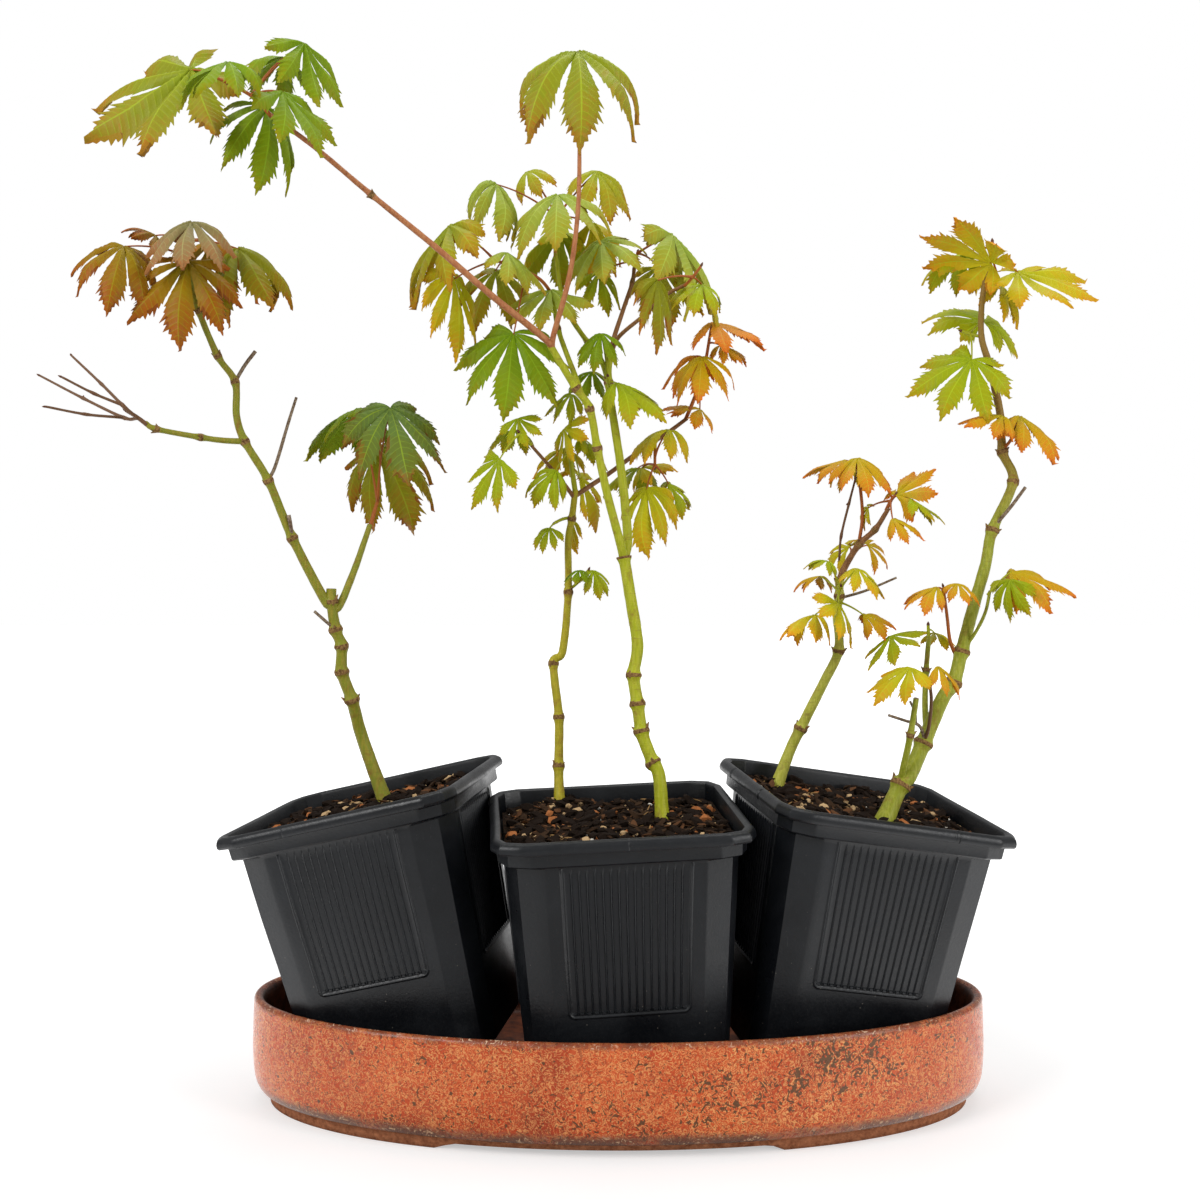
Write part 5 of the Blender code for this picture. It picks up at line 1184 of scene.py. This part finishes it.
def soil_finishes():
    """The dark soil, and the chips in the order of their kinds."""
    stops = ((0.35, (0.009, 0.005, 0.004)), (0.58, (0.034, 0.019, 0.011)), (0.78, (0.12, 0.062, 0.032)))
    soil = mottled_finish("soil", (0.03, 0.018, 0.011), 0.95, 0.1, (300.0, 5.0, 0.7), stops, 0.0012)
    return [soil, *[plain_finish(name, color, 0.9, 1800.0, 0.00030, 0.1) for name, color, *_ in CHIPS]]


def soil_point(x, y, pot, seat, lift=0.0):
    """The point of the soil's surface at a place in the pot, or as far above it as lift."""
    point = Vector((x, y, 0.0))
    height = -SOIL_DEPTH - 0.0006 + 0.0013 * noise_at(point, 60.0, len(pot))
    height += 0.0008 * noise_at(point, 230.0, len(pot) + 2.0) + 0.0004 * noise_at(point, 700.0, 3.0)
    for home, foot_x, foot_y, mound in FEET.values():
        if home == pot:
            away = math.hypot(x - foot_x, y - foot_y)
            height += (mound + 0.0012) * math.exp(-(away / (0.0085 + mound)) ** 2)
    return seat @ Vector((x, y, height + lift))


def build_soil(name, pot, finishes):
    """A lumpy fill with chips of bark, pumice and fibre lying on it."""
    seat = seat_matrix(pot)
    half = POT_HALF_BODY - POT_WALL + 0.0012
    side = SOIL_AROUND // 4
    corners = [(k // side, 2.0 * (k % side) / side) for k in range(SOIL_AROUND)]
    verts = [soil_point(0.0, 0.0, pot, seat)]
    for step in range(1, SOIL_RINGS + 1):
        share = step / SOIL_RINGS
        for corner in corners:
            x, y = square_point(half, SOIL_CORNER, *corner)
            verts.append(soil_point(x * share, y * share, pot, seat))
    for corner in corners:
        x, y = square_point(half - 0.002, SOIL_CORNER + 0.003, *corner)
        verts.append(seat @ Vector((x, y, -COLLAR_HEIGHT)))
    faces = [(0, 1 + k, 1 + (k + 1) % SOIL_AROUND) for k in range(SOIL_AROUND)]
    for start in range(1, 1 + SOIL_RINGS * SOIL_AROUND, SOIL_AROUND):
        for k in range(SOIL_AROUND):
            a, b = start + k, start + (k + 1) % SOIL_AROUND
            faces.append((a, a + SOIL_AROUND, b + SOIL_AROUND, b))
    surface = Surface()
    surface.add(verts, faces)
    scatter_chips(surface, pot, seat, half)
    surface.piece(f"{name}_fill", finishes, "soil", name, smooth=False)


def scatter_chips(surface, pot, seat, half):
    rng = random.Random(f"{SEED} chips {pot}")
    shares = [chip[2] for chip in CHIPS]
    for _ in range(CHIPS_PER_POT):
        kind = rng.choices(range(len(CHIPS)), shares)[0]
        least, most, slender, thick = CHIPS[kind][3:]
        length = least + (most - least) * rng.random() ** 2.2
        x = rng.uniform(-1, 1) * (half - 0.003)
        y = rng.uniform(-1, 1) * (half - 0.003)
        if abs(x) + abs(y) > 2 * half - 0.020:
            continue
        at = soil_point(x, y, pot, seat, 0.15 * length)
        turn = Euler((rng.uniform(-0.5, 0.5), rng.uniform(-0.6, 0.6), rng.uniform(0, 6.28)))
        turn = seat.to_3x3() @ turn.to_matrix()
        size = (length, length / slender, length / slender * thick)
        add_chip(surface, at, turn, size, rng, kind + 1)


def add_chip(surface, at, turn, size, rng, index):
    """A rough five-sided lump of four uneven rings, narrow at its two ends."""
    length, width, height = size
    rings = []
    for place, girth in ((-0.5, 0.35), (-0.2, 1.0), (0.2, 0.95), (0.5, 0.3)):
        ring = []
        for k in range(5):
            angle = 2 * math.pi * k / 5 + rng.uniform(-0.3, 0.3)
            swing = girth * rng.uniform(0.7, 1.15) / 2
            local = Vector((place * length * rng.uniform(0.85, 1.1), width * swing * math.cos(angle),
                            height * swing * math.sin(angle)))
            ring.append(at + turn @ local)
        rings.append(ring)
    surface.add_rings(rings, index)


# Tray

def glaze_finish():
    """Orange-red glaze, crawled into fine light worms and brown dots that run together."""
    shade = Shade("glaze", (0.70, 0.14, 0.045), 0.34, 0.34)
    across, up = shade.axis("X"), shade.axis("Z")
    clouds = shade.noise(18.0, 5.0, 0.62, 0.5)
    broad = shade.noise(34.0, 3.0, 0.55, 0.8)
    crawl = shade.noise(330.0, 2.0, 0.55, 1.8)
    worms = shade.noise(250.0, 1.5, 0.5, 2.4)
    runs = shade.noise(1.0, stretch=(150.0, 150.0, 40.0))
    shade.feed("Base Color", shade.ramp(clouds, (0.30, (0.30, 0.034, 0.010)),
                                        (0.50, (0.54, 0.070, 0.015)), (0.72, (0.70, 0.126, 0.030))))
    shade.paint(shade.ramp(runs, (0.45, 0.0), (0.75, 0.22)), (0.80, 0.25, 0.085))

    # More worms and dots to the right, most of them in a band that rises
    side = shade.ramp(shade.plus(shade.times(across, 2.4), 0.5), (0.05, 0.45), (0.30, 0.40),
                      (0.56, 0.20), (0.68, 0.90), (0.80, 1.0), (0.95, 0.5))
    here = shade.times(side, shade.ramp(broad, (0.38, 0.15), (0.60, 1.0)))
    off = shade.away(up, shade.plus(shade.times(across, 0.17), 0.0200))
    band = shade.times(shade.ramp(shade.times(off, 40.0), (0.20, 1.0), (0.72, 0.12)), here)
    threads = shade.times(shade.ramp(shade.away(crawl, 0.5), (0.018, 1.0), (0.052, 0.0)),
                          shade.plus(shade.times(here, 0.46), 0.50))
    shade.paint(threads, (0.94, 0.47, 0.16))
    shadows = shade.ramp(shade.noise(380.0, 2.0, 0.55, 2.4), (0.56, 0.0), (0.62, 0.65))
    shade.paint(shadows, (0.26, 0.044, 0.014))
    dark = shade.plus(worms, shade.times(band, 0.27))
    shade.paint(shade.ramp(dark, (0.655, 0.0), (0.685, 0.92)), (0.095, 0.047, 0.018))

    # A worn rim with pale chips, and a dark foot with cream spots
    level = shade.times(shade.plus(up, shade.times(shade.noise(60.0), 0.0030)), 10.0)
    rim = shade.times(shade.ramp(level, (0.538, 0.0), (0.558, 0.90)),
                      shade.ramp(shade.noise(90.0, 4.0), (0.32, 0.30), (0.55, 1.0)))
    shade.paint(rim, (0.19, 0.048, 0.020))
    chips = shade.times(rim, shade.ramp(crawl, (0.60, 0.0), (0.66, 1.0)))
    shade.paint(chips, (0.80, 0.55, 0.36))
    low = shade.times(shade.ramp(level, (0.085, 1.0), (0.118, 0.85), (0.150, 0.0)),
                      shade.ramp(broad, (0.36, 0.25), (0.52, 1.0)))
    shade.paint(low, (0.150, 0.062, 0.036))
    cream = shade.times(low, shade.ramp(crawl, (0.58, 0.0), (0.66, 0.9)))
    shade.paint(cream, (0.74, 0.48, 0.28))
    edge = shade.ramp(level, (0.062, 1.0), (0.074, 0.9), (0.082, 0.0))
    shade.paint(edge, (0.040, 0.016, 0.010))
    shade.feed("Roughness", shade.ramp(crawl, (0.35, 0.24), (0.65, 0.42)))
    shade.set("Coat Weight", 0.06)
    shade.set("Coat Roughness", 0.25)
    shade.bump(crawl, 0.00022)
    shade.bump(dark, 0.00015)
    shade.bump(clouds, 0.0006)
    return shade.material


def build_tray():
    """An oval dish thrown a little uneven, on a clay foot band that is cut away at the middle."""
    rim, foot, floor = TRAY_HEIGHT, FOOT_HEIGHT, TRAY_FLOOR
    # How far in each ring is, its height, or -1 where it stands, and its finish: 0 the glaze,
    # 1 the clay, 2 the glaze inside, a darker brown that is painted shade and some dirt
    profile = (
        (0.0190, -1.0, 1), (0.0186, -1.0, 1), (0.0100, -1.0, 1), (0.0092, -1.0, 1),
        (0.0088, foot * 0.5, 1), (0.0082, foot, 1), (0.0074, foot + 0.0002, 1),
        (0.0060, foot + 0.0004, 0), (0.0044, foot + 0.0014, 0), (0.0030, 0.0088, 0),
        (0.0019, 0.0110, 0), (0.0010, 0.0140, 0), (0.0004, 0.0190, 0), (0.0, 0.0260, 0),
        (0.0, 0.0320, 0), (0.0003, 0.0400, 0), (0.0006, rim - 0.0070, 0), (0.0008, rim - 0.0040, 0),
        (0.0010, rim - 0.0022, 0), (0.0015, rim - 0.0010, 0), (0.0023, rim - 0.0002, 0),
        (0.0033, rim, 0), (0.0044, rim - 0.0002, 0), (0.0055, rim - 0.0011, 0),
        (0.0063, rim - 0.0026, 2), (0.0068, rim - 0.0060, 2), (0.0073, 0.0380, 2),
        (0.0077, 0.0280, 2), (0.0086, floor + 0.0050, 2), (0.0100, floor + 0.0018, 2),
        (0.0130, floor + 0.0003, 2), (0.0400, floor, 2), (0.0900, floor, 2),
    )
    rings = []
    for inset, height, _ in profile:
        ring = []
        for i in range(TRAY_SEGMENTS):
            angle = 2 * math.pi * (i + 0.5) / TRAY_SEGMENTS
            way = Vector((math.cos(angle), math.sin(angle), 0.0))
            point = Vector((TRAY_HALF_LENGTH - inset, TRAY_HALF_WIDTH - inset, 0.0)) * way
            point.z = height
            if height < 0.0:
                beside = FOOT_GAP_HALF_LENGTH - abs(point.x - FOOT_GAP_MIDDLE)
                point.z = FOOT_GAP_HEIGHT * min(1.0, max(0.0, beside / FOOT_GAP_SLOPE))
            if 0.008 < height < rim - 0.003:
                point -= way * TRAY_UNEVEN * (1 + noise_at(point, 30.0, 8.0))
            ring.append(point)
        rings.append(ring)
    surface = Surface()
    bands = [max(a[2], b[2]) for a, b in zip(profile, profile[1:])]
    surface.add_rings(rings, bands, cap_start=False)
    under = [Vector((x * 0.97, y * 0.97, foot)) for x, y, _ in rings[0]]
    surface.add_rings([under, rings[0]], 1, cap_end=False)
    clay = mottled_finish("clay", (0.26, 0.105, 0.055), 0.85, 0.2, (350.0, 5.0, 0.7),
                          ((0.35, (0.24, 0.080, 0.034)), (0.65, (0.52, 0.205, 0.095))), 0.0004)
    # The glaze inside the dish is darker brown: painted shade where the pots shade it, and some dirt
    inner = mottled_finish("inner_glaze_dirt_and_painted_shade", (0.16, 0.045, 0.018), 0.42, 0.5, (160.0, 5.0, 0.65),
                           ((0.35, (0.085, 0.024, 0.012)), (0.65, (0.26, 0.070, 0.026))), 0.0003)
    surface.piece("tray_dish", [glaze_finish(), clay, inner], "glaze", "tray")


# Studio

SKY_POWER = 0.46              # what the sky lights the plant with; the camera sees it white
FLOOR_REACH = 8.0
FLOOR_WHITE = 0.62
GLOW_NEAR = 0.48              # what the camera sees the floor give off under the plant
GLOW_FAR = 1.0
GLOW_REACH = 0.75
MIRRORED_GLOW = 1.2           # what glossy surfaces mirror of the floor to the left and right
LIGHTS = {
    # place, size, power
    "key": ((-0.95, -0.85, 1.05), (0.6, 0.7), 10.8),
    "fill": ((1.0, -0.75, 0.60), (0.4, 0.9), 6.5),
    "top": ((0.1, 0.35, 1.6), (1.2, 0.8), 7.0),
}
LIT_POINT = Vector((0.0, 0.0, 0.22))


def stand(name, data, at=(0.0, 0.0, 0.0), turn=(0.0, 0.0, 0.0)):
    """Put an object into the scene."""
    item = bpy.data.objects.new(name, data)
    item.location = at
    item.rotation_euler = turn
    bpy.context.scene.collection.objects.link(item)
    return item


def build_lights():
    for name, (at, size, power) in LIGHTS.items():
        light = bpy.data.lights.new(name, "AREA")
        light.shape = "RECTANGLE"
        light.size, light.size_y = size
        light.energy = power
        stand(name, light, at, (LIT_POINT - Vector(at)).to_track_quat("-Z", "Y").to_euler())


def floor_finish():
    """White, glowing for the camera, more so farther off, and at both sides for what mirrors it."""
    white = Shade("floor_white", (FLOOR_WHITE, FLOOR_WHITE, FLOOR_WHITE), 0.8, 0.1)
    white.set("Emission Color", (1.0, 1.0, 1.0, 1.0))
    away = white.node("VectorMath", {0: white.coordinates}, "Value", operation="LENGTH")
    glow = white.span(away, 0.26, GLOW_REACH, GLOW_NEAR, GLOW_FAR)
    beside = white.span(white.math("ABSOLUTE", white.axis("X")), 0.08, 0.20, 0.0, MIRRORED_GLOW)
    beside = white.times(beside, white.span(white.axis("Y"), -0.27, -0.17))
    seen = white.times(glow, white.node("LightPath", {}, "Is Camera Ray"))
    mirrored = white.times(beside, white.node("LightPath", {}, "Is Glossy Ray"))
    white.feed("Emission Strength", white.plus(seen, mirrored))
    return white.material


def build_studio():
    """A pale floor, a bright even sky, and soft lights over and before the plant."""
    mesh = bpy.data.meshes.new("floor")
    corners = [(x * FLOOR_REACH, y * FLOOR_REACH, -0.0002) for x, y in
               ((-1, -1), (1, -1), (1, 1), (-1, 1))]
    mesh.from_pydata(corners, [], [(0, 1, 2, 3)])
    mesh.materials.append(floor_finish())
    floor = stand("floor", mesh)
    world = bpy.data.worlds.new("sky")
    world.use_nodes = True
    tree = world.node_tree
    sky = tree.nodes["Background"]
    sky.inputs["Color"].default_value = (1.0, 1.0, 1.0, 1.0)
    path = tree.nodes.new("ShaderNodeLightPath")
    power = tree.nodes.new("ShaderNodeMapRange")
    power.inputs["To Min"].default_value = SKY_POWER
    tree.links.new(path.outputs["Is Camera Ray"], power.inputs["Value"])
    tree.links.new(power.outputs["Result"], sky.inputs["Strength"])
    bpy.context.scene.world = world
    build_lights()


def build_camera():
    data = bpy.data.cameras.new("camera")
    data.lens = LENS
    data.sensor_width = SENSOR
    turn = (math.radians(90.0 - CAMERA_DIP), 0.0, 0.0)
    bpy.context.scene.camera = stand("camera", data, CAMERA_AT + MIDDLE, turn)


def main():
    build_camera()
    build_studio()
    build_tray()
    plastic = plastic_finish()
    finishes = soil_finishes()
    for pot in POT_SEATS:
        build_pot(f"{pot}_pot", pot, plastic)
        build_soil(f"{pot}_soil", pot, finishes)
    grow_limbs()
    grow_leaves()
    bpy.context.scene.view_settings.view_transform = "Standard"


main()
